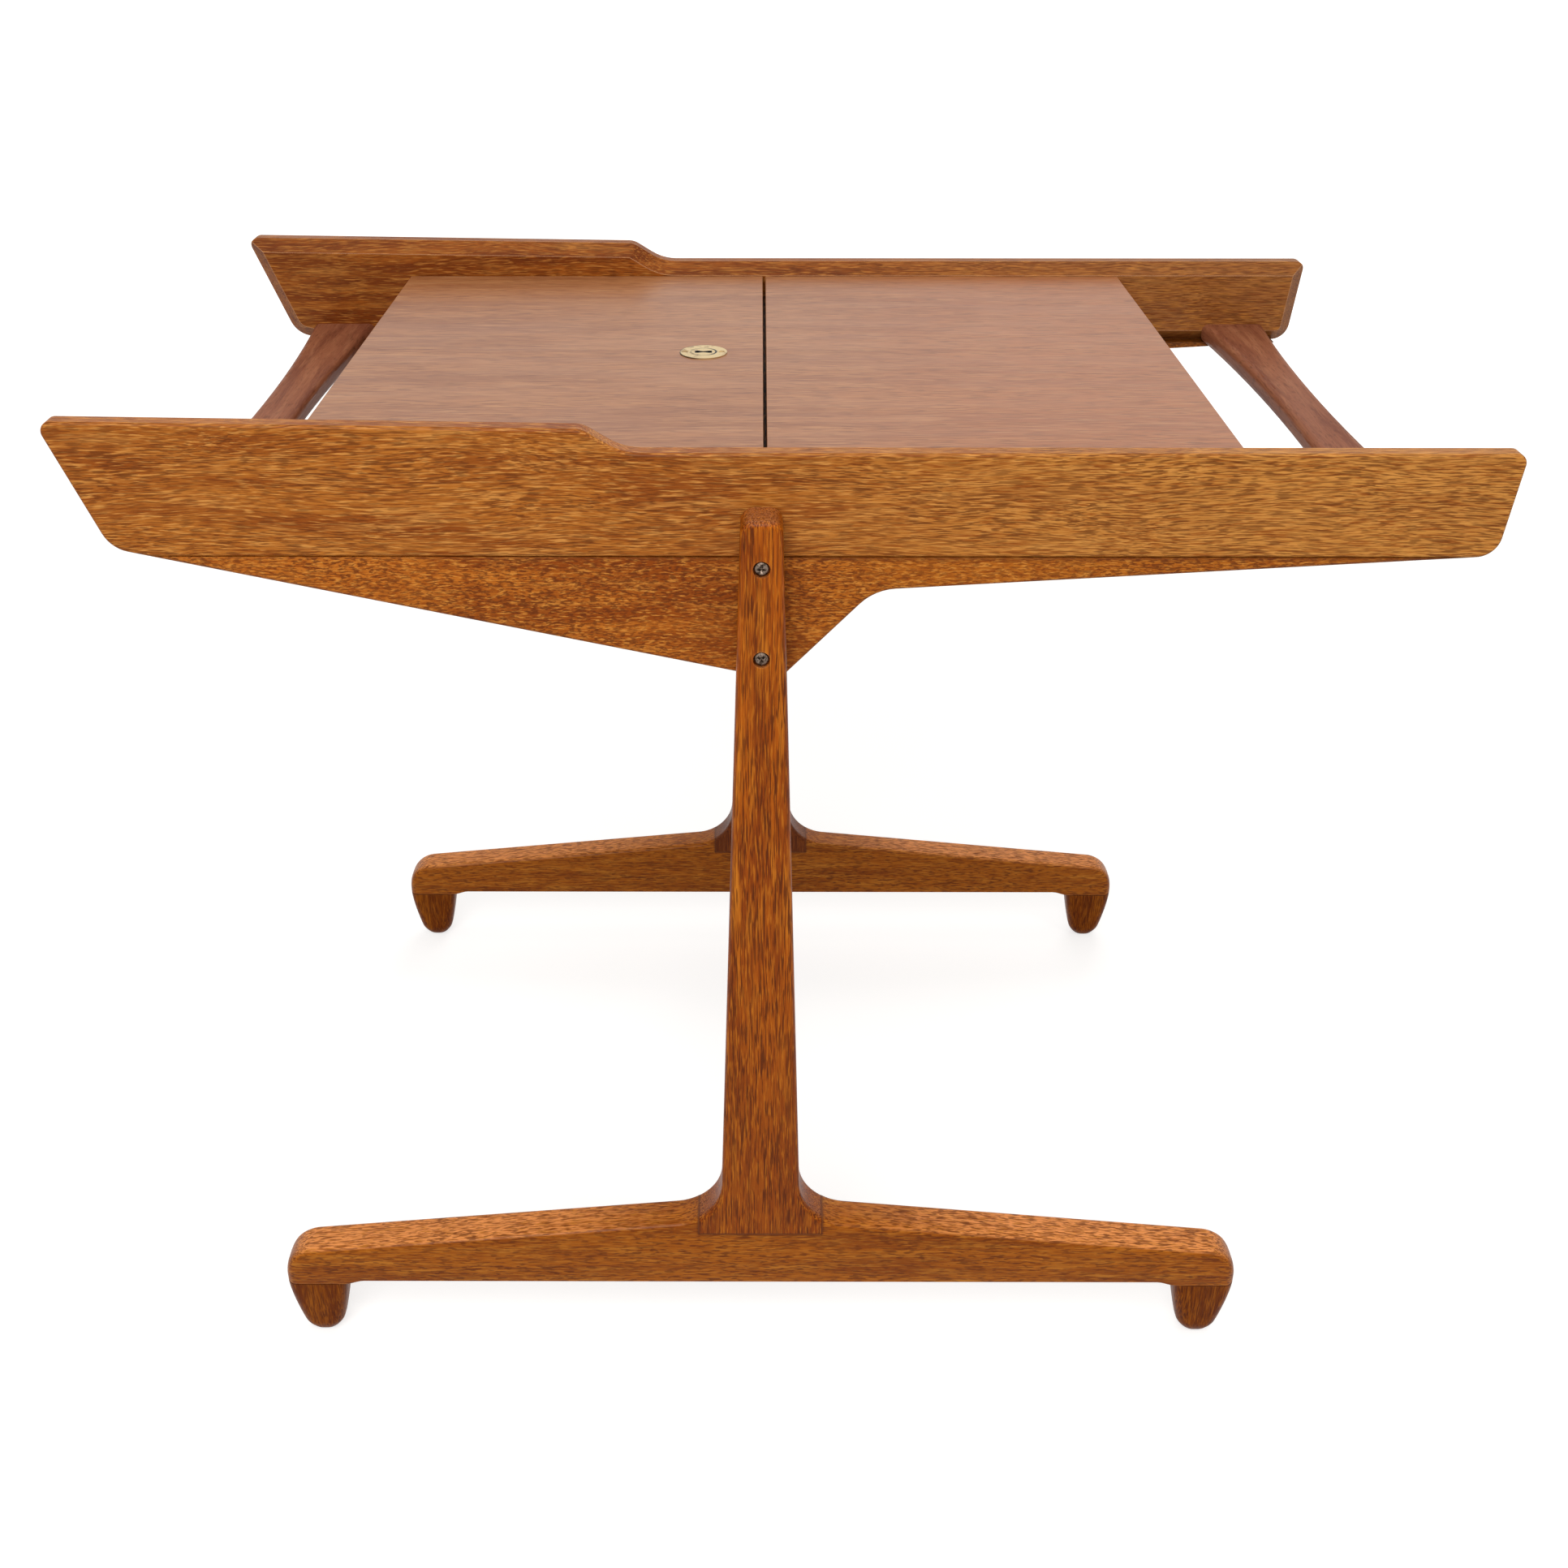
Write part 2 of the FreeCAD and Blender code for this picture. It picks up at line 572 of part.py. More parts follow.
def make_cleat(end, side):
    # L-shaped slide glued under a panel, its tongue in the runner groove; it meets the end board
    # when the panel is fully open
    body = start_body("%s_%s_cleat" % (end, side))
    outline = start_sketch(body, "YZ_Plane", "Outline")
    sign = outward(side)
    face = "(%s - Sizes.slide_clearance)" % runner_face
    tip = "(%s + Sizes.groove_depth - Sizes.slide_clearance)" % runner_face
    back = "(%s - Sizes.cleat_width)" % face
    tongue_bottom = "(%s + Sizes.groove_lift + Sizes.slide_clearance)" % runner_bottom
    tongue_top = "(%s + Sizes.groove_lift + Sizes.groove_height - Sizes.slide_clearance)" % runner_bottom
    corners = ((back, tongue_bottom), (tip, tongue_bottom), (tip, tongue_top), (face, tongue_top),
               (face, panel_bottom), (back, panel_bottom))
    draw_polygon(outline, [(sign + across, up) for across, up in corners])
    if end == "left":
        start = "(%s + Sizes.panel_travel + Sizes.slide_clearance)" % left_room_x
        stop = "(%s - Sizes.cleat_gap)" % divider_left_x
    else:
        start = "(%s + Sizes.cleat_gap)" % divider_right_x
        stop = "(%s - Sizes.panel_travel - Sizes.slide_clearance)" % right_room_x
    place(body, x=start)
    add_pad(body, outline, "%s - %s" % (stop, start))
    return body


def make_runner(side):
    # grooved strip on the inner face of a rail, between the end boards
    body = start_body(side + "_runner")
    outline = start_sketch(body, "YZ_Plane", "Outline")
    sign = outward(side)
    groove = "(%s + Sizes.groove_depth)" % runner_face
    low = "(%s + Sizes.groove_lift)" % runner_bottom
    high = "(%s + Sizes.groove_height)" % low
    corners = ((rail_inner, runner_bottom), (rail_inner, board_top), (runner_face, board_top),
               (runner_face, high), (groove, high), (groove, low), (runner_face, low),
               (runner_face, runner_bottom))
    draw_polygon(outline, [(sign + across, up) for across, up in corners])
    place(body, x=left_room_x)
    add_pad(body, outline, "%s - %s" % (right_room_x, left_room_x))
    return body


def make_end_boards():
    for end, left, inner, edge in (("left", left_board_x, left_room_x, left_edge),
                                   ("right", right_room_x, right_room_x, right_edge)):
        bottom = "(%s + Sizes.floor_lift)" % edge(inner)
        board = make_box(end + "_end_board", left, "-" + rail_inner, bottom, "Sizes.end_board_thickness",
                         "2 * " + rail_inner, "%s - %s" % (board_top, bottom))
        keep(board, end + "_end_board")


def make_floor(name, left, right, edge):
    # a floor board that keeps its distance from the lower edge of the rails
    body = start_body(name)
    place(body, y="-" + rail_inner)
    outline = start_sketch(body, "XZ_Plane", "Outline")
    lift = "Sizes.floor_lift"
    full = "Sizes.floor_lift + Sizes.floor_thickness"
    draw_polygon(outline, ((left, "%s + %s" % (edge(left), lift)), (right, "%s + %s" % (edge(right), lift)),
                           (right, "%s + %s" % (edge(right), full)), (left, "%s + %s" % (edge(left), full))))
    add_pad(body, outline, "2 * " + rail_inner, reverse=True)
    return body


def make_divider():
    # board under the slot, notched for the runners
    body = start_body("centre_divider")
    place(body, x=divider_left_x)
    outline = start_sketch(body, "YZ_Plane", "Outline")
    bottom = "(%s + Sizes.divider_lift)" % keel_height
    corners = [(rail_inner, bottom), (rail_inner, runner_bottom), (runner_face, runner_bottom),
               (runner_face, board_top)]
    mirrored = [("-" + across, up) for across, up in reversed(corners)]
    draw_polygon(outline, corners + mirrored)
    add_pad(body, outline, "Sizes.divider_thickness")
    return body


def make_partitions():
    # low partitions on the floor of the right compartment
    top = "(Sizes.rail_top - Sizes.partition_drop)"
    half = "Sizes.partition_thickness / 2"
    body = start_body("long_partition")
    place(body, y="-" + half)
    outline = start_sketch(body, "XZ_Plane", "Outline")
    full = "Sizes.floor_lift + Sizes.floor_thickness"
    draw_polygon(outline, ((knee_x, "%s + %s" % (right_edge(knee_x), full)),
                           (right_room_x, "%s + %s" % (right_edge(right_room_x), full)),
                           (right_room_x, top), (knee_x, top)))
    add_pad(body, outline, "Sizes.partition_thickness", reverse=True)
    middle = "((%s + %s) / 2)" % (knee_x, right_room_x)
    bottom = "(%s + %s)" % (right_edge("(%s + %s)" % (middle, half)), full)
    for side, front in (("front", "-%s" % runner_face), ("rear", half)):
        board = make_box(side + "_cross_partition", "(%s - %s)" % (middle, half), front, bottom,
                         "Sizes.partition_thickness", "%s - %s" % (runner_face, half),
                         "%s - %s" % (top, bottom))
        keep(board, side + "_cross_partition")


def make_lock():
    full_height = "Sizes.barrel_length + Sizes.flange_thickness"
    flange = make_cylinder("FlangeDisc", lock_x, "0", flange_bottom, "Sizes.flange_diameter",
                           "Sizes.flange_thickness")
    barrel = make_cylinder("Barrel", lock_x, "0", barrel_bottom, "Sizes.barrel_diameter",
                           "Sizes.barrel_length")
    bore = make_cylinder("Bore", lock_x, "0", barrel_bottom,
                         "Sizes.plug_diameter + 2 * Sizes.plug_clearance", full_height)
    tools = [bore]
    for sign in ("-", "+"):
        tools.append(make_cylinder("ScrewSeat", "%s %s Sizes.lock_screw_spacing / 2" % (lock_x, sign), "0",
                                   flange_bottom, "Sizes.lock_screw_diameter", "Sizes.flange_thickness"))
    housing = cut("LockHousing", fuse("HousingBlank", [flange, barrel]), fuse("HousingCuts", tools))
    keep(housing, "lock_housing")
    plug = make_cylinder("PlugBlank", lock_x, "0", barrel_bottom, "Sizes.plug_diameter", full_height)
    slot_floor = "%s + Sizes.key_slot_floor" % barrel_bottom
    cuts = [make_box("KeySlot", "%s - Sizes.key_slot_length / 2" % lock_x, "-Sizes.key_slot_width / 2",
                     slot_floor, "Sizes.key_slot_length", "Sizes.key_slot_width", full_height)]
    for sign in ("-", "+"):
        across = "%s %s (Sizes.key_slot_length - Sizes.key_slot_flare) / 2" % (lock_x, sign)
        cuts.append(make_cylinder("KeySlotEnd", across, "0", slot_floor, "Sizes.key_slot_flare", full_height))
    keep(cut("LockPlug", plug, fuse("KeyCuts", cuts)), "lock_plug")
    screws = []
    for sign in ("-", "+"):
        across = "%s %s Sizes.lock_screw_spacing / 2" % (lock_x, sign)
        head = make_cylinder("FlangeScrewHead", across, "0", flange_bottom, "Sizes.lock_screw_diameter",
                             "Sizes.flange_thickness - Sizes.lock_screw_sink")
        shank = make_cylinder("FlangeScrewShank", across, "0",
                              "%s + Sizes.flange_stand - Sizes.lock_screw_length" % panel_top,
                              "Sizes.lock_screw_diameter / 2",
                              "Sizes.lock_screw_length - Sizes.flange_thickness")
        slit_bottom = "%s + Sizes.flange_stand - Sizes.lock_screw_sink - Sizes.slit_depth" % panel_top
        slit = make_box("FlangeScrewSlit", across + " - Sizes.lock_screw_diameter / 2",
                        "-Sizes.slit_width / 2", slit_bottom, "Sizes.lock_screw_diameter",
                        "Sizes.slit_width", "Sizes.slit_depth")
        screws.append(cut("FlangeScrew", fuse("FlangeScrewBlank", [head, shank]), slit))
    group("lock_screws", screws)


def make_cam():
    # cam under the plug, turned away from the catch pin; a quarter turn takes the pin into its slot
    body = start_body("lock_cam")
    place(body, x=lock_x, z="%s - Sizes.cam_thickness" % cam_top)
    outline = start_sketch(body, "XY_Plane", "Outline")
    draw_circle(outline, "0", "0", "Sizes.cam_hub_diameter")
    add_pad(body, outline, "Sizes.cam_thickness")
    arm = start_sketch(body, "XY_Plane", "Arm")
    half_hub = "Sizes.cam_hub_diameter / 2"
    reach = "-Sizes.cam_reach"
    draw_polygon(arm, (("-" + half_hub, "0"), ("-" + half_hub, reach), (half_hub, reach), (half_hub, "0")))
    add_pad(body, arm, "Sizes.cam_thickness")
    slot = start_sketch(body, "XY_Plane", "CatchSlot", lift="Sizes.cam_thickness")
    # the pin swings in past the edge of the arm, where its circle lies nearer to the hub
    pin_inner = "(Sizes.catch_radius - Sizes.catch_diameter / 2)"
    near = "-(sqrt(%s ^ 2 - (%s) ^ 2) - Sizes.catch_clearance)" % (pin_inner, half_hub)
    far = "-(Sizes.catch_radius + Sizes.catch_diameter / 2 + Sizes.catch_clearance)"
    depth = "-(Sizes.catch_diameter / 2 + Sizes.catch_clearance)"
    mouth = half_hub + " + Sizes.tool_margin"
    draw_polygon(slot, ((mouth, near), (mouth, far), (depth, far), (depth, near)))
    add_pocket(body, slot, "Sizes.cam_thickness")
    screw_bottom = "%s - Sizes.cam_thickness - Sizes.cam_screw_height" % cam_top
    keep(make_cylinder("CamScrewHead", lock_x, "0", screw_bottom, "Sizes.cam_screw_diameter",
                       "Sizes.cam_screw_height"), "cam_screw")


def make_catch():
    # bracket on the left face of the divider, with the upright pin that the cam holds
    pin_x = "(%s + Sizes.catch_radius)" % lock_x
    leaf = make_box("CatchLeaf", "%s - Sizes.catch_plate" % divider_left_x, "-Sizes.catch_width / 2",
                    "%s - Sizes.catch_leaf" % catch_top, "Sizes.catch_plate", "Sizes.catch_width",
                    "Sizes.catch_leaf")
    arm = make_box("CatchArm", "%s - Sizes.catch_diameter" % pin_x, "-Sizes.catch_width / 2",
                   "%s - Sizes.catch_plate" % catch_top,
                   "%s - %s + Sizes.catch_diameter" % (divider_left_x, pin_x), "Sizes.catch_width",
                   "Sizes.catch_plate")
    pin = make_cylinder("CatchPin", pin_x, "0", catch_top, "Sizes.catch_diameter",
                        "Sizes.catch_drop + Sizes.cam_thickness + Sizes.catch_stand")
    keep(fuse("Catch", [leaf, arm, pin]), "lock_catch")


def beam_surface(across):
    # height of the sloping beam top at a distance from the trestle centre
    return "(Sizes.beam_top - (Sizes.beam_top - Sizes.beam_end_top) * 2 * (%s) / Sizes.beam_length)" % across


half_beam = "(Sizes.beam_length / 2)"
half_tenon = "(Sizes.tenon_width / 2)"
half_foot = "(Sizes.post_foot_width / 2)"
tenon_seat = "(%s - Sizes.tenon_depth)" % beam_surface(half_tenon)


def mirror_outline(right):
    return right + [("-" + across, up) for across, up in reversed(right)]


def start_trestle(body, side):
    # the whole T of post and foot beam, rounded; its outer face lies at the body's own zero
    place(body, x="Sizes.trestle_x", y=outward(side) + post_outer)
    outline = start_sketch(body, "XZ_Plane", "Outline")
    pad_x = "(%s - Sizes.block_width)" % half_beam
    draw_polygon(outline, mirror_outline([
        ("(%s - Sizes.beam_pad_run)" % pad_x, "Sizes.beam_underside"),
        (pad_x, "Sizes.beam_pad_height"),
        (half_beam, "Sizes.beam_pad_height"),
        (half_beam, "Sizes.beam_end_top"),
        (half_foot, beam_surface(half_foot)),
        ("(Sizes.post_top_width / 2)", post_top)]))
    last = add_pad(body, outline, "Sizes.post_thickness", reverse=side == "front")
    for corners, radius in (((3, 8), "Sizes.beam_end_round"), ((4, 7), "Sizes.post_flare"),
                            ((5, 6), "Sizes.post_top_round")):
        last = add_round(body, last, corner_edges(last, outline, corners), radius)
    soft = edges_where(last, lambda edge: edge.BoundBox.YLength < 1e-4
                       and not lies_at(edge, "Z", sizes.beam_underside)
                       and edge.CenterOfMass.z > sizes.beam_underside)
    return add_round(body, last, soft, "Sizes.post_edge_round")


def make_post(side):
    # tapered post with its flared foot, without the beam
    body = start_body(side + "_post")
    start_trestle(body, side)
    waste = start_sketch(body, "XZ_Plane", "BeamWaste")
    wide = "(%s + Sizes.tool_margin)" % half_beam
    high = "(Sizes.beam_top + Sizes.post_flare)"
    draw_polygon(waste, mirror_outline([(wide, "Sizes.tool_margin"), (wide, high), (half_tenon, high),
                                        (half_tenon, tenon_seat)]))
    add_pocket(body, waste, "Sizes.post_thickness", reverse=side == "rear")
    for index in (0, 1):
        height = screw_height(index)
        recess = start_sketch(body, "XZ_Plane", "ScrewRecess")
        draw_circle(recess, "0", height, "Sizes.screw_head_diameter + 2 * Sizes.screw_recess_margin")
        add_pocket(body, recess, "Sizes.screw_recess", reverse=side == "rear")
        hole = start_sketch(body, "XZ_Plane", "ScrewHole")
        draw_circle(hole, "0", height, "Sizes.screw_shank_diameter + 2 * Sizes.screw_hole_clearance")
        add_pocket(body, hole, "Sizes.post_thickness", reverse=side == "rear")
    return body


def make_foot_beam(side):
    # sloping beam with the notch that takes the foot of the post
    body = start_body(side + "_foot_beam")
    start_trestle(body, side)
    notch = start_sketch(body, "XZ_Plane", "PostNotch")
    high = "(%s + Sizes.tool_margin)" % post_top
    draw_polygon(notch, mirror_outline([(half_tenon, tenon_seat), (half_tenon, high)]))
    add_pocket(body, notch, "Sizes.post_thickness", reverse=side == "rear")
    return body


def make_foot_block(side, end):
    body = start_body("%s_%s_foot_block" % (side, end))
    place(body, x="Sizes.trestle_x", y=outward(side) + post_outer)
    outline = start_sketch(body, "XZ_Plane", "Outline")
    outer = "Sizes.beam_length / 2"
    inner = "(%s - Sizes.block_width)" % outer
    sign = "-" if end == "left" else ""
    corners = ((inner, "Sizes.beam_pad_height"), (outer, "Sizes.beam_pad_height"),
               ("(%s - Sizes.block_taper_outer)" % outer, "0"),
               ("(%s + Sizes.block_taper_inner)" % inner, "0"))
    draw_polygon(outline, [(sign + across, up) for across, up in corners])
    last = add_pad(body, outline, "Sizes.post_thickness", reverse=side == "front")
    last = add_round(body, last, corner_edges(last, outline, (2, 3)), "Sizes.block_round")
    sides = edges_where(last, lambda edge: edge.BoundBox.YLength < 1e-4
                        and not lies_at(edge, "Z", sizes.beam_pad_height))
    add_round(body, last, sides, "Sizes.post_edge_round")
    return body


def make_post_screws():
    screws = []
    for side, quarter in (("front", -90), ("rear", 90)):
        sign = outward(side)
        inward = "+" if side == "front" else "-"
        for index in (0, 1):
            height = screw_height(index)
            head_seat = "%s%s %s Sizes.screw_recess" % (sign, post_outer, inward)
            head_face = "%s %s (-Sizes.screw_head_height)" % (head_seat, inward)
            pieces = []
            for name, width, length in (("ScrewHead", "Sizes.screw_head_diameter", "Sizes.screw_head_height"),
                                        ("ScrewShank", "Sizes.screw_shank_diameter",
                                         "Sizes.screw_head_height + Sizes.screw_length")):
                part = document.addObject("Part::Cylinder", name)
                part.setExpression("Radius", width + " / 2")
                part.setExpression("Height", length)
                part.Placement.Rotation = FreeCAD.Rotation(FreeCAD.Vector(1, 0, 0), quarter)
                pieces.append(place(part, x="Sizes.trestle_x", y=head_face, z=height))
            arms = []
            for length, rise in (("Sizes.cross_slot_length", "Sizes.cross_slot_width"),
                                 ("Sizes.cross_slot_width", "Sizes.cross_slot_length")):
                front = head_face if side == "front" else head_face + " - Sizes.cross_slot_depth"
                arms.append(make_box("CrossSlot", "Sizes.trestle_x - %s / 2" % length, front,
                                     "%s - %s / 2" % (height, rise), length, "Sizes.cross_slot_depth", rise))
            screws.append(cut("PostScrew", fuse("ScrewBlank", pieces), fuse("CrossRecess", arms)))
    group("post_screws", screws)


for side in ("front", "rear"):
    make_rail_board(side)
    make_rail_wedge(side)
    make_runner(side)
    make_post(side)
    make_foot_beam(side)
    for end in ("left", "right"):
        make_foot_block(side, end)
for end in ("left", "right"):
    make_handle_bar(end)
    make_top_panel(end)
    for side in ("front", "rear"):
        make_cleat(end, side)
make_dowels()
make_end_boards()
make_floor("left_floor", left_room_x, divider_left_x, left_edge)
make_floor("steep_floor", divider_right_x, knee_x, steep_edge)
make_floor("right_floor", knee_x, right_room_x, right_edge)
make_divider()
make_partitions()
make_lock()
make_cam()
make_catch()
make_post_screws()
document.recompute()

os.makedirs("parts", exist_ok=True)
for item in document.Objects:
    if "Invalid" in item.State or "Error" in item.State:
        raise RuntimeError("%s (%s) has a fault" % (item.Label, item.Name))
for piece in table_pieces:
    if piece.Shape.isNull() or not piece.Shape.isValid():
        raise RuntimeError(piece.Label + " has no sound shape")
    piece.Shape.exportStep("parts/%s.step" % piece.Label)
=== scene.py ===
import math
import bmesh
import bpy
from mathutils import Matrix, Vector


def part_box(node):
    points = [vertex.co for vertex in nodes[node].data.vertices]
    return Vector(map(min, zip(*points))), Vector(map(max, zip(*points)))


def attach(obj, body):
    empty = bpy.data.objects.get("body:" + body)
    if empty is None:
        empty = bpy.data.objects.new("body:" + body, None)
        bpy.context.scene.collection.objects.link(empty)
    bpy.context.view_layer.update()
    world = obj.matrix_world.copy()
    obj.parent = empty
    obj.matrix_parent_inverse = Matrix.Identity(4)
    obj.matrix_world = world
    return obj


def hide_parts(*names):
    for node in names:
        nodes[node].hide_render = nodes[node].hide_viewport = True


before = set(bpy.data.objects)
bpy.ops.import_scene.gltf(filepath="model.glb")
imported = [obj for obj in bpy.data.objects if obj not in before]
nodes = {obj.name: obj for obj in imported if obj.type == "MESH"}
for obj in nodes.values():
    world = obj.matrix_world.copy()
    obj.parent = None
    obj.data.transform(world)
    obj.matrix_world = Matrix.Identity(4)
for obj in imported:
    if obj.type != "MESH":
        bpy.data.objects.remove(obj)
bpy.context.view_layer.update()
print("sewing table:", len(nodes), "nodes loaded")

mmPerMetre = 1000.0
creaseAngle = math.radians(32)  # a carved piece shows an edge where its faces turn by more
mergeDistance = 1e-6
smooth = {"interpolation_type": "SMOOTHSTEP"}


def linear(hexColor):
    # sRGB hex to linear red, green, blue and a full alpha
    values = [int(hexColor[i:i + 2], 16) / 255 for i in (1, 3, 5)]
    return [v / 12.92 if v <= 0.04045 else ((v + 0.055) / 1.055) ** 2.4 for v in values] + [1.0]


def addNode(tree, kind, settings=None, inputs=None):
    node = tree.nodes.new(kind)
    for name, value in (settings or {}).items():
        setattr(node, name, value)
    for socket, value in (inputs or {}).items():
        if isinstance(value, bpy.types.NodeSocket):
            tree.links.new(value, node.inputs[socket])
        else:
            node.inputs[socket].default_value = value
    return node


def startMaterial(name):
    material = bpy.data.materials.new(name)
    material.use_nodes = True
    material.node_tree.nodes.clear()
    return material, material.node_tree


def placeInMm(tree):
    source = addNode(tree, "ShaderNodeTexCoord")
    return addNode(tree, "ShaderNodeVectorMath", {"operation": "SCALE"},
                   {"Vector": source.outputs["Object"], "Scale": mmPerMetre}).outputs[0]


def dress(nodeName, material):
    # every slot of a CAD node takes the finish
    for slot in nodes[nodeName].material_slots:
        slot.material = material


def grainStreaks(tree, place, grain, streak, amount):
    # streaks of a length and width in millimetres: 0 between them, the amount in their middle
    scale = [1 / streak["width"]] * 3
    scale["XYZ".index(grain)] = 1 / streak["length"]
    stretched = addNode(tree, "ShaderNodeMapping", None,
                        {"Vector": place, "Scale": scale,
                         "Location": streak.get("shift", (0, 0, 0))})
    noise = addNode(tree, "ShaderNodeTexNoise", None,
                    {"Vector": stretched.outputs[0], "Scale": 1.0, "Detail": streak["detail"]})
    low, high = streak["range"]
    shaped = addNode(tree, "ShaderNodeMapRange", smooth,
                     {"Value": noise.outputs[0], "From Min": low, "From Max": high,
                      "To Max": amount})
    return shaped.outputs[0]


def glueLineAndShade(tree, place, seam):
    # dark line, in millimetres, where two boards meet, which may be faint at one end; under the
    # rail board it is widened into painted shade
    split = addNode(tree, "ShaderNodeSeparateXYZ", None, {0: place})
    away = addNode(tree, "ShaderNodeMath", {"operation": "SUBTRACT"},
                   {0: split.outputs["XYZ".index(seam["axis"])], 1: seam["at"]})
    size = addNode(tree, "ShaderNodeMath", {"operation": "ABSOLUTE"}, {0: away.outputs[0]})
    reach = split.outputs["XYZ".index(seam.get("fadeAlong", "X"))]
    if "about" in seam:
        off = addNode(tree, "ShaderNodeMath", {"operation": "SUBTRACT"},
                      {0: reach, 1: seam["about"]})
        reach = addNode(tree, "ShaderNodeMath", {"operation": "ABSOLUTE"},
                        {0: off.outputs[0]}).outputs[0]
    start, end = seam.get("fade", (0, 1))
    most = addNode(tree, "ShaderNodeMapRange", smooth,
                   {"Value": reach, "From Min": start, "From Max": end,
                    "To Min": seam["amount"] * seam.get("faint", 1), "To Max": seam["amount"]})
    line = addNode(tree, "ShaderNodeMapRange", smooth,
                   {"Value": size.outputs[0], "From Min": 0.0, "From Max": seam["width"],
                    "To Min": most.outputs[0], "To Max": 0.0})
    return line.outputs[0]


def paintedTopShading(tree, place, look):
    # painted shading where the surface faces up, in full or growing over a reach away from the
    # leg: paler as painted light on lit tops, dark as painted shade in the slot
    source = addNode(tree, "ShaderNodeTexCoord")
    facing = addNode(tree, "ShaderNodeSeparateXYZ", None, {0: source.outputs["Normal"]})
    level, flat = look["paintedTopFacing"]
    amount = look["paintedTopAmount"]
    if "paintedTopReach" in look:
        split = addNode(tree, "ShaderNodeSeparateXYZ", None, {0: place})
        across = addNode(tree, "ShaderNodeMath", {"operation": "SUBTRACT"},
                         {0: split.outputs[0], 1: legMiddle})
        away = addNode(tree, "ShaderNodeMath", {"operation": "ABSOLUTE"}, {0: across.outputs[0]})
        near, far = look["paintedTopReach"]
        amount = addNode(tree, "ShaderNodeMapRange", smooth,
                         {"Value": away.outputs[0], "From Min": near, "From Max": far,
                          "To Max": amount}).outputs[0]
    shown = addNode(tree, "ShaderNodeMapRange", smooth,
                    {"Value": facing.outputs[2], "From Min": level, "From Max": flat,
                     "To Max": amount})
    return shown.outputs[0]


def wornAndHighlightedEdges(tree, look, patches):
    # pale where the normal turns within the radius of an edge, in patches: wear, and a painted
    # highlight along the arris
    soft = addNode(tree, "ShaderNodeBevel", {"samples": look["edgeSamples"]},
                   {"Radius": look["edgeRadius"] / mmPerMetre})
    flat = addNode(tree, "ShaderNodeNewGeometry")
    turned = addNode(tree, "ShaderNodeVectorMath", {"operation": "DOT_PRODUCT"},
                     {0: soft.outputs[0], 1: flat.outputs["Normal"]})
    most = addNode(tree, "ShaderNodeMapRange", None,
                   {"Value": patches, "To Min": look["edgeWearAndHighlightLeast"], "To Max": look["edgeWearAndHighlightAmount"]})
    paleEdge = addNode(tree, "ShaderNodeMapRange", smooth,
                     {"Value": turned.outputs["Value"], "From Min": look["edgeFrom"],
                      "From Max": look["edgeTo"], "To Max": most.outputs[0]})
    return paleEdge.outputs[0]


def shadeCast(tree, place, look):
    # a tone that grows along one axis of the piece
    start, end = look["castReach"]
    split = addNode(tree, "ShaderNodeSeparateXYZ", None, {0: place})
    cast = addNode(tree, "ShaderNodeMapRange", smooth,
                   {"Value": split.outputs["XYZ".index(look["castAlong"])], "From Min": start,
                    "From Max": end, "To Max": look["castAmount"]})
    return cast.outputs[0]


def wavyPlace(tree, look, place):
    # the fibres wander across the grain
    along = "XYZ".index(look["grain"])
    scale, reach = [1 / look["waveWidth"]] * 3, [look["wave"]] * 3
    scale[along], reach[along] = 1 / look["waveLength"], 0
    slow = addNode(tree, "ShaderNodeMapping", None, {"Vector": place, "Scale": scale})
    drift = addNode(tree, "ShaderNodeTexNoise", None,
                    {"Vector": slow.outputs[0], "Scale": 1.0, "Detail": 2.0})
    centred = addNode(tree, "ShaderNodeVectorMath", {"operation": "SUBTRACT"},
                      {0: drift.outputs["Color"], 1: (0.5, 0.5, 0.5)})
    wavy = addNode(tree, "ShaderNodeVectorMath", {"operation": "MULTIPLY_ADD"},
                   {0: centred.outputs[0], 1: reach, 2: place})
    return wavy.outputs[0]


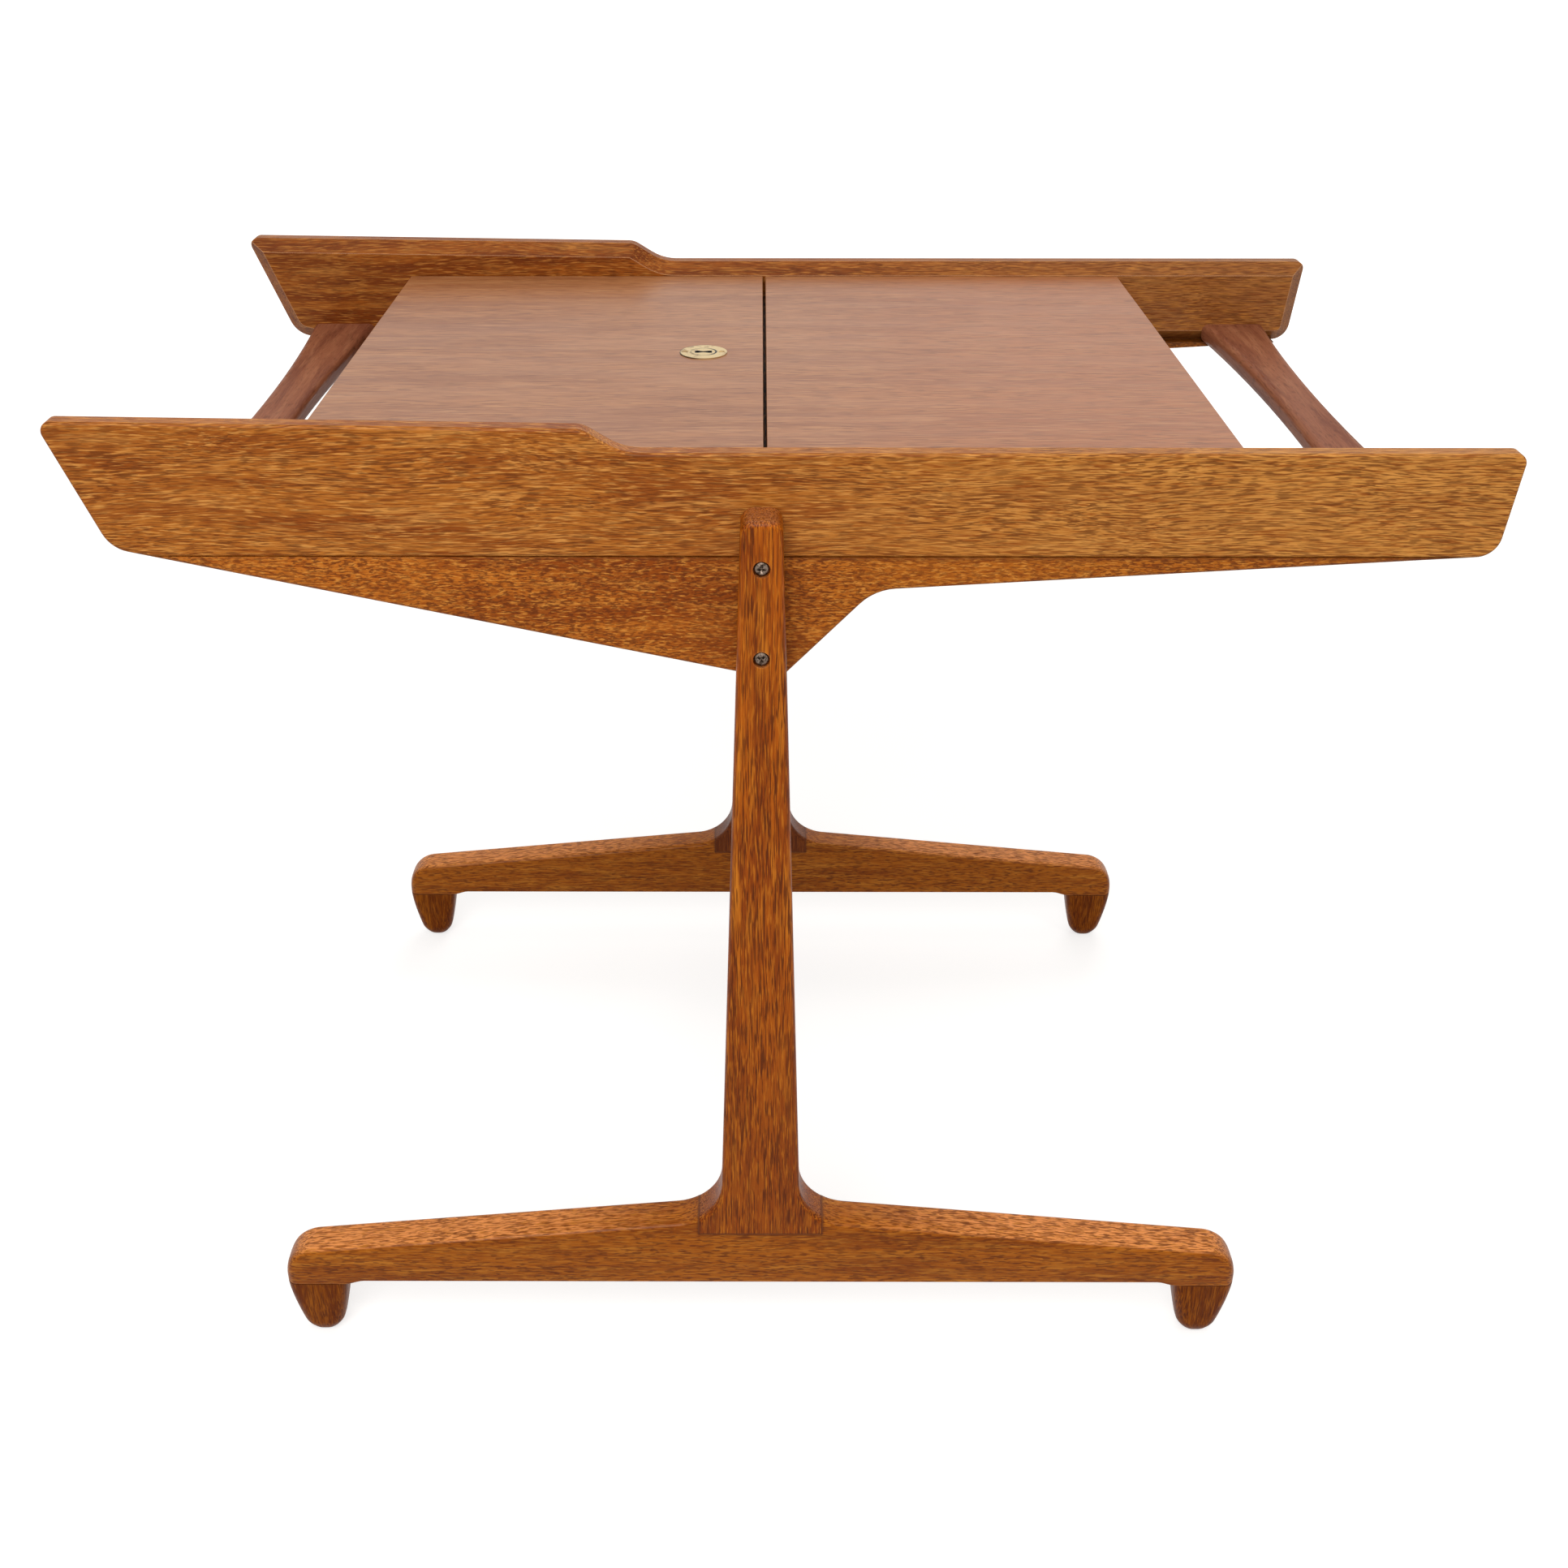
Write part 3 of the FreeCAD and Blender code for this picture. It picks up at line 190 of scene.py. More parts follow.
def woodFinish(name, look):
    material, tree = startMaterial(name)
    place = placeInMm(tree)
    wavy = wavyPlace(tree, look, place)

    def streak(kind, amount=1.0):
        return grainStreaks(tree, wavy, look["grain"], look[kind], amount)

    crowd = addNode(tree, "ShaderNodeMapRange", None,
                    {"Value": streak("crowd"), "To Min": look["poreThin"] * look["poreAmount"],
                     "To Max": look["poreAmount"]})
    pores, bloom = streak("pores", crowd.outputs[0]), streak("bloom")
    # over the ground colour come figure and bloom, casts, painted shading on faces that look up,
    # fibre and pores, then edge wear with a painted edge highlight, and glue lines, one widened
    # into painted shade
    layers = [(streak("figure"), "body"), (bloom, "light")]
    if look["castAmount"]:
        layers.append((shadeCast(tree, place, look), "cast"))
    if look["paintedTopAmount"]:
        layers.append((paintedTopShading(tree, place, look), "upper"))
    layers.append((streak("fibre", look["fibreAmount"]), "shade"))
    layers.append((streak("sheen", look["sheenAmount"]), "light"))
    layers.append((pores, "pore"))
    layers.append((wornAndHighlightedEdges(tree, look, bloom), "edgeWearAndHighlightTone"))
    layers += [(glueLineAndShade(tree, place, seam), "pore") for seam in look["seams"]]
    color = linear(look["shade"])
    for amount, tone in layers:
        # sockets 6 and 7 of a colour mix are its two colours, and output 2 is the result
        color = addNode(tree, "ShaderNodeMix", {"data_type": "RGBA"},
                        {0: amount, 6: color, 7: linear(look[tone])}).outputs[2]
    glossier, duller = look["satinSpread"]
    satin = addNode(tree, "ShaderNodeMapRange", None,
                    {"Value": crowd.outputs[0], "From Max": look["poreAmount"],
                     "To Min": look["roughness"] + glossier, "To Max": look["roughness"] + duller})
    bump = addNode(tree, "ShaderNodeBump", {"invert": True},
                   {"Strength": look["bump"], "Distance": look["poreDepth"] / mmPerMetre,
                    "Height": pores})
    shader = addNode(tree, "ShaderNodeBsdfPrincipled", None,
                     {"Base Color": color, "Roughness": satin.outputs[0], "IOR": look["ior"],
                      "Coat Weight": look["coat"], "Coat Roughness": look["coatRoughness"],
                      "Normal": bump.outputs[0]})
    addNode(tree, "ShaderNodeOutputMaterial", None, {"Surface": shader.outputs[0]})
    return material


# open-pored mahogany, sanded and satin lacquered: warm orange-brown with dark dashes along it
railLook = {
    "grain": "X", "shade": "#8c450c", "body": "#b26a24", "light": "#d18e44", "pore": "#562502",
    "cast": "#cf9044", "castAlong": "X", "castReach": (-140, 330), "castAmount": 0.65,
    "wave": 16, "waveWidth": 55, "waveLength": 170,
    # streaks, in millimetres
    "figure": {"length": 150, "width": 16, "range": (0.34, 0.58), "detail": 2.0},
    "bloom": {"length": 60, "width": 6, "range": (0.5, 0.8), "detail": 2.0, "shift": (3, 7, 1)},
    "fibre": {"length": 17, "width": 0.75, "range": (0.42, 0.66), "detail": 2.0,
              "shift": (9, 2, 5)},
    "sheen": {"length": 13, "width": 0.95, "range": (0.5, 0.68), "detail": 2.0,
              "shift": (4, 8, 1)},
    "pores": {"length": 9.5, "width": 0.65, "range": (0.47, 0.6), "detail": 1.5,
              "shift": (1, 4, 8)},
    "crowd": {"length": 90, "width": 18, "range": (0.35, 0.6), "detail": 1.0,
              "shift": (5, 5, 2)},
    "fibreAmount": 0.85, "sheenAmount": 0.85, "poreThin": 0.7, "poreAmount": 0.7,
    "poreDepth": 0.25, "bump": 0.35,
    # edges rubbed pale with a painted highlight along them, painted shading on faces that look up,
    # and glue lines
    "edgeWearAndHighlightTone": "#cf9058", "edgeWearAndHighlightAmount": 0.5, "edgeWearAndHighlightLeast": 0.12, "edgeRadius": 1.4, "edgeSamples": 4,
    "edgeFrom": 0.99, "edgeTo": 0.88,
    "paintedTopAmount": 0.0, "paintedTopFacing": (0.5, 0.95), "seams": (),
    # in a pale room the index of real lacquer, 1.5, would look milky
    "roughness": 0.42, "satinSpread": (-0.06, 0.03), "ior": 1.22,
    "coat": 0.03, "coatRoughness": 0.25,
}

# the rear rail is darker, and paler and duller towards its right end
rearRailLook = {
    **railLook, "shade": "#6f3206", "body": "#955015", "light": "#b07030", "pore": "#451b01",
    "cast": "#9c6a3c", "castReach": (-60, 300), "castAmount": 0.5,
    "figure": {"length": 180, "width": 11, "range": (0.34, 0.6), "detail": 2.0},
    "fibreAmount": 0.7, "poreAmount": 0.5,
    # pale lines along both arrises: wear and a painted highlight
    "edgeWearAndHighlightTone": "#c8946a", "edgeWearAndHighlightAmount": 1.0, "edgeWearAndHighlightLeast": 0.7, "edgeRadius": 1.1,
    "edgeFrom": 0.995, "edgeTo": 0.93,
}

# the lower strips are cut from darker wood, whose pores show as short flecks
wedgeLook = {
    **railLook, "shade": "#8a4005", "body": "#bb691c", "light": "#d08736", "pore": "#5a2502",
    "cast": "#a35c12", "castReach": (-20, 60), "castAmount": 0.5,
    "wave": 5, "waveWidth": 12, "waveLength": 30,
    "fibre": {"length": 8, "width": 0.9, "range": (0.42, 0.66), "detail": 2.0,
              "shift": (2, 2, 7)},
    "sheen": {"length": 6, "width": 0.9, "range": (0.5, 0.68), "detail": 2.0,
              "shift": (5, 3, 2)},
    "pores": {"length": 3.6, "width": 0.95, "range": (0.47, 0.58), "detail": 2.0,
              "shift": (6, 1, 3)},
    "poreAmount": 0.75,
    # the glue line under the rail board, widened into painted shade below the board's edge and
    # heavier towards the right
    "seams": ({"axis": "Z", "at": 571, "width": 3.5, "amount": 0.55, "fade": (-260, 20),
               "faint": 0.2},),
}
# the rear strip is painted darker, as painted shade where it sits under the table
rearWedgeShadedLook = {
    **wedgeLook, "shade": "#5c2a05", "body": "#84450f", "light": "#9b5f25", "pore": "#401a02",
}

# sliced mahogany veneer under satin lacquer: paler and pinker, closed pores, fine level lines
panelLook = {
    **railLook, "shade": "#8e5733", "body": "#a2693f", "light": "#b07a4e", "pore": "#6f3e20",
    "cast": "#a45c2e", "castReach": (-40, 180), "castAmount": 0.55,
    "wave": 10, "waveWidth": 40, "waveLength": 150,
    "figure": {"length": 190, "width": 14, "range": (0.36, 0.62), "detail": 2.0},
    "fibre": {"length": 34, "width": 1.3, "range": (0.44, 0.68), "detail": 2.0,
              "shift": (1, 8, 5)},
    "sheen": {"length": 26, "width": 1.3, "range": (0.5, 0.68), "detail": 2.0,
              "shift": (2, 8, 6)},
    "pores": {"length": 15, "width": 1.2, "range": (0.52, 0.64), "detail": 1.5,
              "shift": (4, 9, 2)},
    "fibreAmount": 0.65, "sheenAmount": 0.65, "poreAmount": 0.65, "poreDepth": 0.06, "bump": 0.2,
    "edgeWearAndHighlightTone": "#c89c78", "edgeWearAndHighlightAmount": 0.55, "edgeRadius": 1.2,
    "roughness": 0.33, "ior": 1.34, "coat": 0.06, "coatRoughness": 0.2,
}

# where each leg sits in its beam, in millimetres: its sides, its level and its middle
seatSides, seatLevel, legMiddle = (-54, 28), 94.9, -13

# redder mahogany of the legs, with upright pores and the glue lines of their seats
postLook = {
    **railLook, "grain": "Z",
    "shade": "#853a02", "body": "#ae5607", "light": "#cb771c", "pore": "#521f01",
    "cast": "#7a3a0a", "castAlong": "Z", "castReach": (420, 90), "castAmount": 0.5,
    "wave": 5, "waveWidth": 26, "waveLength": 220,
    "figure": {"length": 160, "width": 9, "range": (0.34, 0.58), "detail": 2.0},
    "fibre": {"length": 36, "width": 0.8, "range": (0.42, 0.66), "detail": 2.0,
              "shift": (6, 2, 5)},
    "pores": {"length": 17, "width": 0.8, "range": (0.5, 0.61), "detail": 1.5,
              "shift": (2, 7, 7)},
    "sheenAmount": 0.55, "poreAmount": 0.85,
    # the edges are worn pale with a painted highlight, and the rounded tops are painted paler as a
    # painted highlight
    "edgeWearAndHighlightTone": "#cf8a52", "edgeWearAndHighlightAmount": 0.4, "edgeRadius": 1.6, "upper": "#a87652", "paintedTopAmount": 0.5,
    "seams": [{"axis": "X", "at": side, "width": 1.2, "amount": 0.8} for side in seatSides]
    + [{"axis": "Z", "at": seatLevel, "width": 1.2, "amount": 0.8}],
    "roughness": 0.34, "ior": 1.18, "coat": 0.06, "coatRoughness": 0.14,
}
# the rear leg is painted darker: partly darker wood, partly painted shade from under the table
rearPostShadedLook = {**postLook, "shade": "#572303", "body": "#76370a", "light": "#8e4c1a"}

# the beams' top faces are painted paler than their sides, as painted light from above, less so
# near the leg
beamLook = {
    **postLook, "grain": "X", "castAmount": 0.0,
    "shade": "#864105", "body": "#a75b10", "light": "#c07827",
    "fibre": {"length": 15, "width": 1.0, "range": (0.42, 0.66), "detail": 2.0,
              "shift": (6, 2, 5)},
    "pores": {"length": 7, "width": 1.2, "range": (0.5, 0.62), "detail": 1.5,
              "shift": (2, 7, 7)},
    # the pale line along the top front edge is edge wear and a painted highlight
    "poreAmount": 0.65, "edgeWearAndHighlightTone": "#dca678", "edgeWearAndHighlightLeast": 0.3,
    # painted light on the top faces, growing away from the leg
    "upper": "#f09a56", "paintedTopAmount": 0.85, "paintedTopReach": (10, 180),
    # only round the leg: its sides above the seat, and the seat between its sides
    "seams": [{"axis": "X", "at": side, "width": 2.2, "amount": 0.8, "fadeAlong": "Z",
               "fade": (94, 95), "faint": 0} for side in seatSides]
    + [{"axis": "Z", "at": seatLevel, "width": 2.2, "amount": 0.8, "about": legMiddle,
        "fade": (42, 41), "faint": 0}],
}

# the feet are darker and duller, with the glue line under the beam
footLook = {
    **postLook, "castAmount": 0.0, "shade": "#6a2e02", "body": "#8a4706", "light": "#a05a16",
    "paintedTopAmount": 0.0, "ior": 1.13, "coat": 0.03,
    "seams": ({"axis": "Z", "at": 48, "width": 0.9, "amount": 0.6},),
}

# handled mahogany, worn smooth and purple-brown
barLook = {
    **postLook, "grain": "Y", "castAmount": 0.0,
    "shade": "#733f2a", "body": "#8b5338", "light": "#9e6647", "pore": "#421e10",
    "pores": {"length": 9, "width": 1.4, "range": (0.55, 0.7), "detail": 1.0,
              "shift": (5, 3, 2)},
    "fibreAmount": 0.35, "sheenAmount": 0.3, "poreAmount": 0.35, "poreDepth": 0.05,
    "edgeWearAndHighlightTone": "#a07458", "paintedTopAmount": 0.0, "seams": (),
    "roughness": 0.45, "ior": 1.15, "coat": 0.02, "coatRoughness": 0.2,
}

# plain waxed plywood of the box: dull brown, with a quieter grain
boxLook = {
    **railLook, "shade": "#7c441b", "body": "#9b6231", "light": "#b27a45", "pore": "#5e300d",
    "castAmount": 0.0, "fibreAmount": 0.45, "sheenAmount": 0.4, "poreAmount": 0.5,
    "edgeWearAndHighlightAmount": 0.3, "roughness": 0.5, "coat": 0.0,
}
boxAcrossLook = {**boxLook, "grain": "Y"}
# the divider's top is painted black as painted shade, where it shows in the dark slot between the
# panels
dividerPaintedShadeLook = {
    **boxAcrossLook, "upper": "#0b0807", "paintedTopAmount": 1.0, "edgeWearAndHighlightAmount": 0.0, "edgeWearAndHighlightLeast": 0.0,
}

# raw beech dowel: pale and dull, with few pores
dowelLook = {
    **boxAcrossLook, "shade": "#b98a5c", "body": "#cfa377", "light": "#dcb78d", "pore": "#9a6b40",
    "poreAmount": 0.3, "roughness": 0.6,
}

looks = {
    "railMahogany": (railLook, ("front_rail_board",)),
    "rearRailMahogany": (rearRailLook, ("rear_rail_board",)),
    "wedgeMahogany": (wedgeLook, ("front_rail_wedge",)),
    "rearWedgeShadedMahogany": (rearWedgeShadedLook, ("rear_rail_wedge",)),
    "lidVeneer": (panelLook, ("left_top_panel", "right_top_panel")),
    "postMahogany": (postLook, ("front_post",)),
    "rearPostShadedMahogany": (rearPostShadedLook, ("rear_post",)),
    "handleMahogany": (barLook, ("left_handle_bar", "right_handle_bar")),
    "boxPlywood": (boxLook, (
        "left_floor", "right_floor", "steep_floor", "long_partition", "front_runner",
        "rear_runner", "left_front_cleat", "left_rear_cleat", "right_front_cleat",
        "right_rear_cleat")),
    "boxPlywoodAcross": (boxAcrossLook, (
        "left_end_board", "right_end_board", "front_cross_partition", "rear_cross_partition")),
    "dividerPlywoodPaintedShade": (dividerPaintedShadeLook, ("centre_divider",)),
    "dowelBeech": (dowelLook, ("handle_dowels",)),
}
for materialName, (look, nodeNames) in looks.items():
    finish = woodFinish(materialName, look)
    for nodeName in nodeNames:
        dress(nodeName, finish)
print("wood finishes:", len(looks))


def quarterArc(radius, turned):
    # how far a quarter round has fallen away, from its start at 0 to its radius at 1
    return radius * (1 - math.sqrt(max(0.0, 1 - turned ** 2)))


def roundedOutline(low, high, bends, steps):
    # rectangle with the radius of its upper and of its lower corners, as points on the round
    upper, lower = bends
    centres = ((high[0] - upper, high[1] - upper, upper), (low[0] + upper, high[1] - upper, upper),
               (low[0] + lower, low[1] + lower, lower), (high[0] - lower, low[1] + lower, lower))
    outline = []
    for number, (across, up, bend) in enumerate(centres):
        for step in range(steps + 1):
            angle = math.pi / 2 * (number + step / steps)
            outline.append((across + bend * math.cos(angle), up + bend * math.sin(angle)))
    return outline


def joinRings(form, rings):
    # skin between rings of points, each with as many points as the next
    loops = [[form.verts.new(point) for point in ring] for ring in rings]
    for lower, upper in zip(loops, loops[1:]):
        for i in range(len(lower)):
            j = (i + 1) % len(lower)
            form.faces.new((lower[i], lower[j], upper[j], upper[i]))
    return loops


def finishMesh(form, name):
    mesh = bpy.data.meshes.new(name)
    form.to_mesh(mesh)
    form.free()
    return mesh


def showOnTable(mesh, nodeName):
    # a piece named for its mesh, smooth between its edges, in the place of a CAD node
    for face in mesh.polygons:
        face.use_smooth = True
    mesh.set_sharp_from_angle(angle=creaseAngle)
    piece = bpy.data.objects.new(mesh.name, mesh)
    bpy.context.scene.collection.objects.link(piece)
    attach(piece, "table")
    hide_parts(nodeName)


def carve(nodeName, rings, finish):
    form = bmesh.new()
    loops = joinRings(form, rings)
    form.faces.new(reversed(loops[0]))
    form.faces.new(loops[-1])
    bmesh.ops.remove_doubles(form, verts=form.verts, dist=mergeDistance)
    bmesh.ops.recalc_face_normals(form, faces=form.faces)
    mesh = finishMesh(form, nodeName + "Carved")
    mesh.materials.append(finish)
    showOnTable(mesh, nodeName)


# foot block, in metres: square under the beam and carved to a round toe, with sides that curve in
footShape = {
    "nodes": ("front_left_foot_block", "front_right_foot_block",
              "rear_left_foot_block", "rear_right_foot_block"),
    "outerTaper": 0.009, "innerTaper": 0.0085, "faceTaper": 0.0025, "curve": 1.45,
    "topRound": 0.007, "toeRound": 0.0095, "roundCurve": 1.3, "leastFlat": 0.0005,
    "toeHeight": 0.011, "toeInset": 0.007, "rings": 26, "cornerSteps": 8,
}


def footRing(shape, low, high, up, outward):
    # outline of the block at a height, narrower and rounder towards the toe
    below = max(0.0, 1 - up / (high.z - low.z))
    lean = below ** shape["curve"]
    toe = quarterArc(shape["toeInset"], max(0.0, 1 - up / shape["toeHeight"]))
    left, right = low.x + toe, high.x - toe
    tapers = (shape["innerTaper"], shape["outerTaper"])
    left += tapers[outward < 0] * lean
    right -= tapers[outward > 0] * lean
    front = low.y + toe + shape["faceTaper"] * lean
    back = high.y - toe - shape["faceTaper"] * lean
    rounder = below ** shape["roundCurve"]
    bend = shape["topRound"] + (shape["toeRound"] - shape["topRound"]) * rounder
    bend = min(bend, min(back - front, right - left) / 2 - shape["leastFlat"])
    outline = roundedOutline((left, front), (right, back), (bend, bend), shape["cornerSteps"])
    return [(x, y, low.z + up) for x, y in outline]


def makeFootBlock(nodeName, shape, finish):
    low, high = (Vector(corner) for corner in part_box(nodeName))
    outward = -1 if "left" in nodeName else 1
    levels = [(high.z - low.z) * (1 - math.cos(math.pi / 2 * i / shape["rings"]))
              for i in range(shape["rings"] + 1)]
    carve(nodeName, [footRing(shape, low, high, up, outward) for up in levels], finish)


footFinish = woodFinish("footMahogany", footLook)
for nodeName in footShape["nodes"]:
    makeFootBlock(nodeName, footShape, footFinish)
print("foot blocks:", len(footShape["nodes"]))


# foot beam, in metres: runs out of the post's flare and tapers to ends that are carved round
beamShape = {
    "nodes": ("front_foot_beam", "rear_foot_beam"), "ridge": 0.108, "endTop": 0.076,
    "halfSeat": 0.041, "postHalf": 0.0265, "postLean": 0.03, "flareRadius": 0.034,
    "underside": 0.051, "padReach": 0.04, "padRun": 0.013,
    "endRound": 0.02, "planRound": 0.007, "topRound": 0.004, "endTopRound": 0.0065,
    "bottomRound": 0.001, "seatRound": 0.0003, "leastFlat": 0.0002,
    "flareSections": 8, "sections": 14, "padSections": 5, "endSections": 12, "cornerSteps": 6,
}


def flareEnd(shape, fall):
    # distance from the middle at which the flare meets the beam's slope
    slope = math.atan(fall)
    tangent = shape["flareRadius"] * math.tan((math.pi / 2 - slope - shape["postLean"]) / 2)
    return shape["postHalf"] + tangent * math.cos(slope)


def beamTop(shape, half, reach):
    # height of the upper face: the flare's arc, then the slope
    fall = (shape["ridge"] - shape["endTop"]) / half
    slope, end, radius = math.atan(fall), flareEnd(shape, fall), shape["flareRadius"]
    if reach >= end:
        return shape["ridge"] - fall * reach
    centreX = end + radius * math.sin(slope)
    centreZ = shape["ridge"] - fall * end + radius * math.cos(slope)
    return centreZ - math.sqrt(radius ** 2 - (reach - centreX) ** 2)


def beamRing(shape, low, high, reach, side, seat):
    # section of the beam at a distance from its middle, seated under the post or free
    half, middle = (high.x - low.x) / 2, (high.x + low.x) / 2
    turned = max(0.0, (reach - (half - shape["endRound"])) / shape["endRound"])
    top = seat or beamTop(shape, half, reach)
    top -= quarterArc(shape["endRound"], turned)
    inPlan = max(0.0, (reach - half + shape["planRound"]) / shape["planRound"])
    inset = quarterArc(shape["planRound"], inPlan)
    padStart = half - shape["padReach"] - shape["padRun"]
    onPad = min(1.0, max(0.0, (reach - padStart) / shape["padRun"]))
    bottom = shape["underside"] - (shape["underside"] - low.z) * onPad * onPad * (3 - 2 * onPad)
    front, back = low.y + inset, high.y - inset
    bend = shape["topRound"] + (shape["endTopRound"] - shape["topRound"]) * turned
    bend = min(shape["seatRound"] if seat else bend, (back - front) / 2 - shape["leastFlat"])
    outline = roundedOutline((front, bottom), (back, top), (bend, shape["bottomRound"]),
                             shape["cornerSteps"])
    return [(middle + side * reach, y, z) for y, z in outline]


def makeFootBeam(nodeName, shape, finish):
    low, high = (Vector(corner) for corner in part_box(nodeName))
    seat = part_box(nodeName.replace("foot_beam", "post"))[0][2]
    half, seatEnd = (high.x - low.x) / 2, shape["halfSeat"]
    endStart = half - shape["endRound"]
    flare = flareEnd(shape, (shape["ridge"] - shape["endTop"]) / half)
    padStart = half - shape["padReach"] - shape["padRun"]
    free = [start + (end - start) * i / count
            for start, end, count in ((seatEnd, flare, shape["flareSections"]),
                                      (flare, endStart, shape["sections"]))
            for i in range(count)]
    free += [padStart + shape["padRun"] * i / shape["padSections"]
             for i in range(shape["padSections"] + 1)]
    free.sort()
    free += [endStart + shape["endRound"] * math.sin(math.pi / 2 * i / shape["endSections"])
             for i in range(shape["endSections"] + 1)]
    sections = [(0.0, seat), (seatEnd, seat)] + [(reach, None) for reach in free]
    rings = [beamRing(shape, low, high, reach, -1, under) for reach, under in sections[:0:-1]]
    rings += [beamRing(shape, low, high, reach, 1, under) for reach, under in sections]
    carve(nodeName, rings, finish)


beamFinish = woodFinish("beamMahogany", beamLook)
for nodeName in beamShape["nodes"]:
    makeFootBeam(nodeName, beamShape, beamFinish)
print("foot beams:", len(beamShape["nodes"]))


def keyholeMark(tree, split, mark):
    # painted shade in the keyhole: a slot with a half length and a waist that widens to its ends,
    # in millimetres
    along = addNode(tree, "ShaderNodeMath", {"operation": "ABSOLUTE"}, {0: split.outputs[0]})
    across = addNode(tree, "ShaderNodeMath", {"operation": "ABSOLUTE"}, {0: split.outputs[1]})
    half = addNode(tree, "ShaderNodeMapRange", smooth,
                   {"Value": along.outputs[0], "From Max": mark["length"] * mark["widens"],
                    "To Min": mark["waist"], "To Max": mark["flare"]})
    beyond = addNode(tree, "ShaderNodeMath", {"operation": "SUBTRACT"},
                     {0: across.outputs[0], 1: half.outputs[0]})
    past = addNode(tree, "ShaderNodeMath", {"operation": "SUBTRACT"},
                   {0: along.outputs[0], 1: mark["length"]})
    outside = addNode(tree, "ShaderNodeMath", {"operation": "MAXIMUM"},
                      {0: beyond.outputs[0], 1: past.outputs[0]})
    inner, outer = mark["edge"]
    shown = addNode(tree, "ShaderNodeMapRange", smooth,
                    {"Value": outside.outputs[0], "From Min": inner, "From Max": outer,
                     "To Min": 1.0, "To Max": 0.0})
    return shown.outputs[0]


def ringMark(tree, split, ring):
    # a dark ring, heavier towards one side, in millimetres: painted shadow in the gap round the
    # plug, and a dark line at the flange's rim
    flat = addNode(tree, "ShaderNodeCombineXYZ", None, {0: split.outputs[0], 1: split.outputs[1]})
    radius = addNode(tree, "ShaderNodeVectorMath", {"operation": "LENGTH"}, {0: flat.outputs[0]})
    away = addNode(tree, "ShaderNodeMath", {"operation": "SUBTRACT"},
                   {0: radius.outputs["Value"], 1: ring["radius"]})
    size = addNode(tree, "ShaderNodeMath", {"operation": "ABSOLUTE"}, {0: away.outputs[0]})
    start, end = ring["heavier"]
    most = addNode(tree, "ShaderNodeMapRange", smooth,
                   {"Value": split.outputs[0], "From Min": start, "From Max": end,
                    "To Min": ring["least"], "To Max": ring["most"]})
    shown = addNode(tree, "ShaderNodeMapRange", smooth,
                    {"Value": size.outputs[0], "From Min": ring["width"] * ring["core"],
                     "From Max": ring["width"], "To Min": most.outputs[0], "To Max": 0.0})
    return shown.outputs[0]


def lockMarks(tree, place, marks):
    centred = addNode(tree, "ShaderNodeVectorMath", {"operation": "SUBTRACT"},
                      {0: place, 1: marks["centre"]})
    split = addNode(tree, "ShaderNodeSeparateXYZ", None, {0: centred.outputs[0]})
    rings = [ringMark(tree, split, ring) for ring in marks["rings"]]
    return [keyholeMark(tree, split, marks["keyhole"])] + rings


def metalFinish(name, look):
    material, tree = startMaterial(name)
    place = placeInMm(tree)
    stain = addNode(tree, "ShaderNodeTexNoise", None,
                    {"Vector": place, "Scale": 1 / look["stainSize"], "Detail": 3.0,
                     "Roughness": look["stainBreak"]})
    spread = addNode(tree, "ShaderNodeMapRange", smooth,
                     {"Value": stain.outputs[0], "From Min": look["stainFrom"],
                      "From Max": look["stainFrom"] + look["stainEdge"],
                      "To Max": look["stainAmount"]})
    layers = [(spread.outputs[0], "stain")]
    # painted shade in the keyhole and round the plug, and a dark line at the rim
    if "marks" in look:
        layers += [(mark, "shadeAndDirt") for mark in lockMarks(tree, place, look["marks"])]
    color = linear(look["clean"])
    for amount, tone in layers:
        color = addNode(tree, "ShaderNodeMix", {"data_type": "RGBA"},
                        {0: amount, 6: color, 7: linear(look[tone])}).outputs[2]
    scratch = addNode(tree, "ShaderNodeTexNoise", None,
                      {"Vector": place, "Scale": 1 / look["scratchSize"], "Detail": 2.0})
    low, high = look["scratchRange"]
    glossier, duller = look["dullSpread"]
    dulled = addNode(tree, "ShaderNodeMapRange", None,
                     {"Value": scratch.outputs[0], "From Min": low, "From Max": high,
                      "To Min": look["roughness"] + glossier,
                      "To Max": look["roughness"] + duller})
    bump = addNode(tree, "ShaderNodeBump", None,
                   {"Strength": look["bump"], "Distance": look["scratchDepth"] / mmPerMetre,
                    "Height": scratch.outputs[0]})
    shader = addNode(tree, "ShaderNodeBsdfPrincipled", None,
                     {"Base Color": color, "Metallic": 1.0, "Roughness": dulled.outputs[0],
                      "Normal": bump.outputs[0]})
    addNode(tree, "ShaderNodeOutputMaterial", None, {"Surface": shader.outputs[0]})
    return material


# zinc-plated steel of the hidden fittings: grey, dulled in clouds
zincLook = {
    "clean": "#b9babb", "stain": "#8d8c88", "stainSize": 3.0, "stainFrom": 0.5,
    "stainEdge": 0.14, "stainBreak": 0.6, "stainAmount": 0.5,
    "scratchSize": 0.8, "scratchRange": (0.3, 0.7), "scratchDepth": 0.05, "bump": 0.15,
    "roughness": 0.4, "dullSpread": (-0.08, 0.12),
}
# steel screws in a dark bronzed finish, rubbed grey on the high spots
bronzedLook = {
    **zincLook, "clean": "#7c6c60", "stain": "#33271f", "stainSize": 2.0, "stainFrom": 0.46,
    "stainAmount": 0.8, "scratchSize": 0.5, "roughness": 0.38,
}
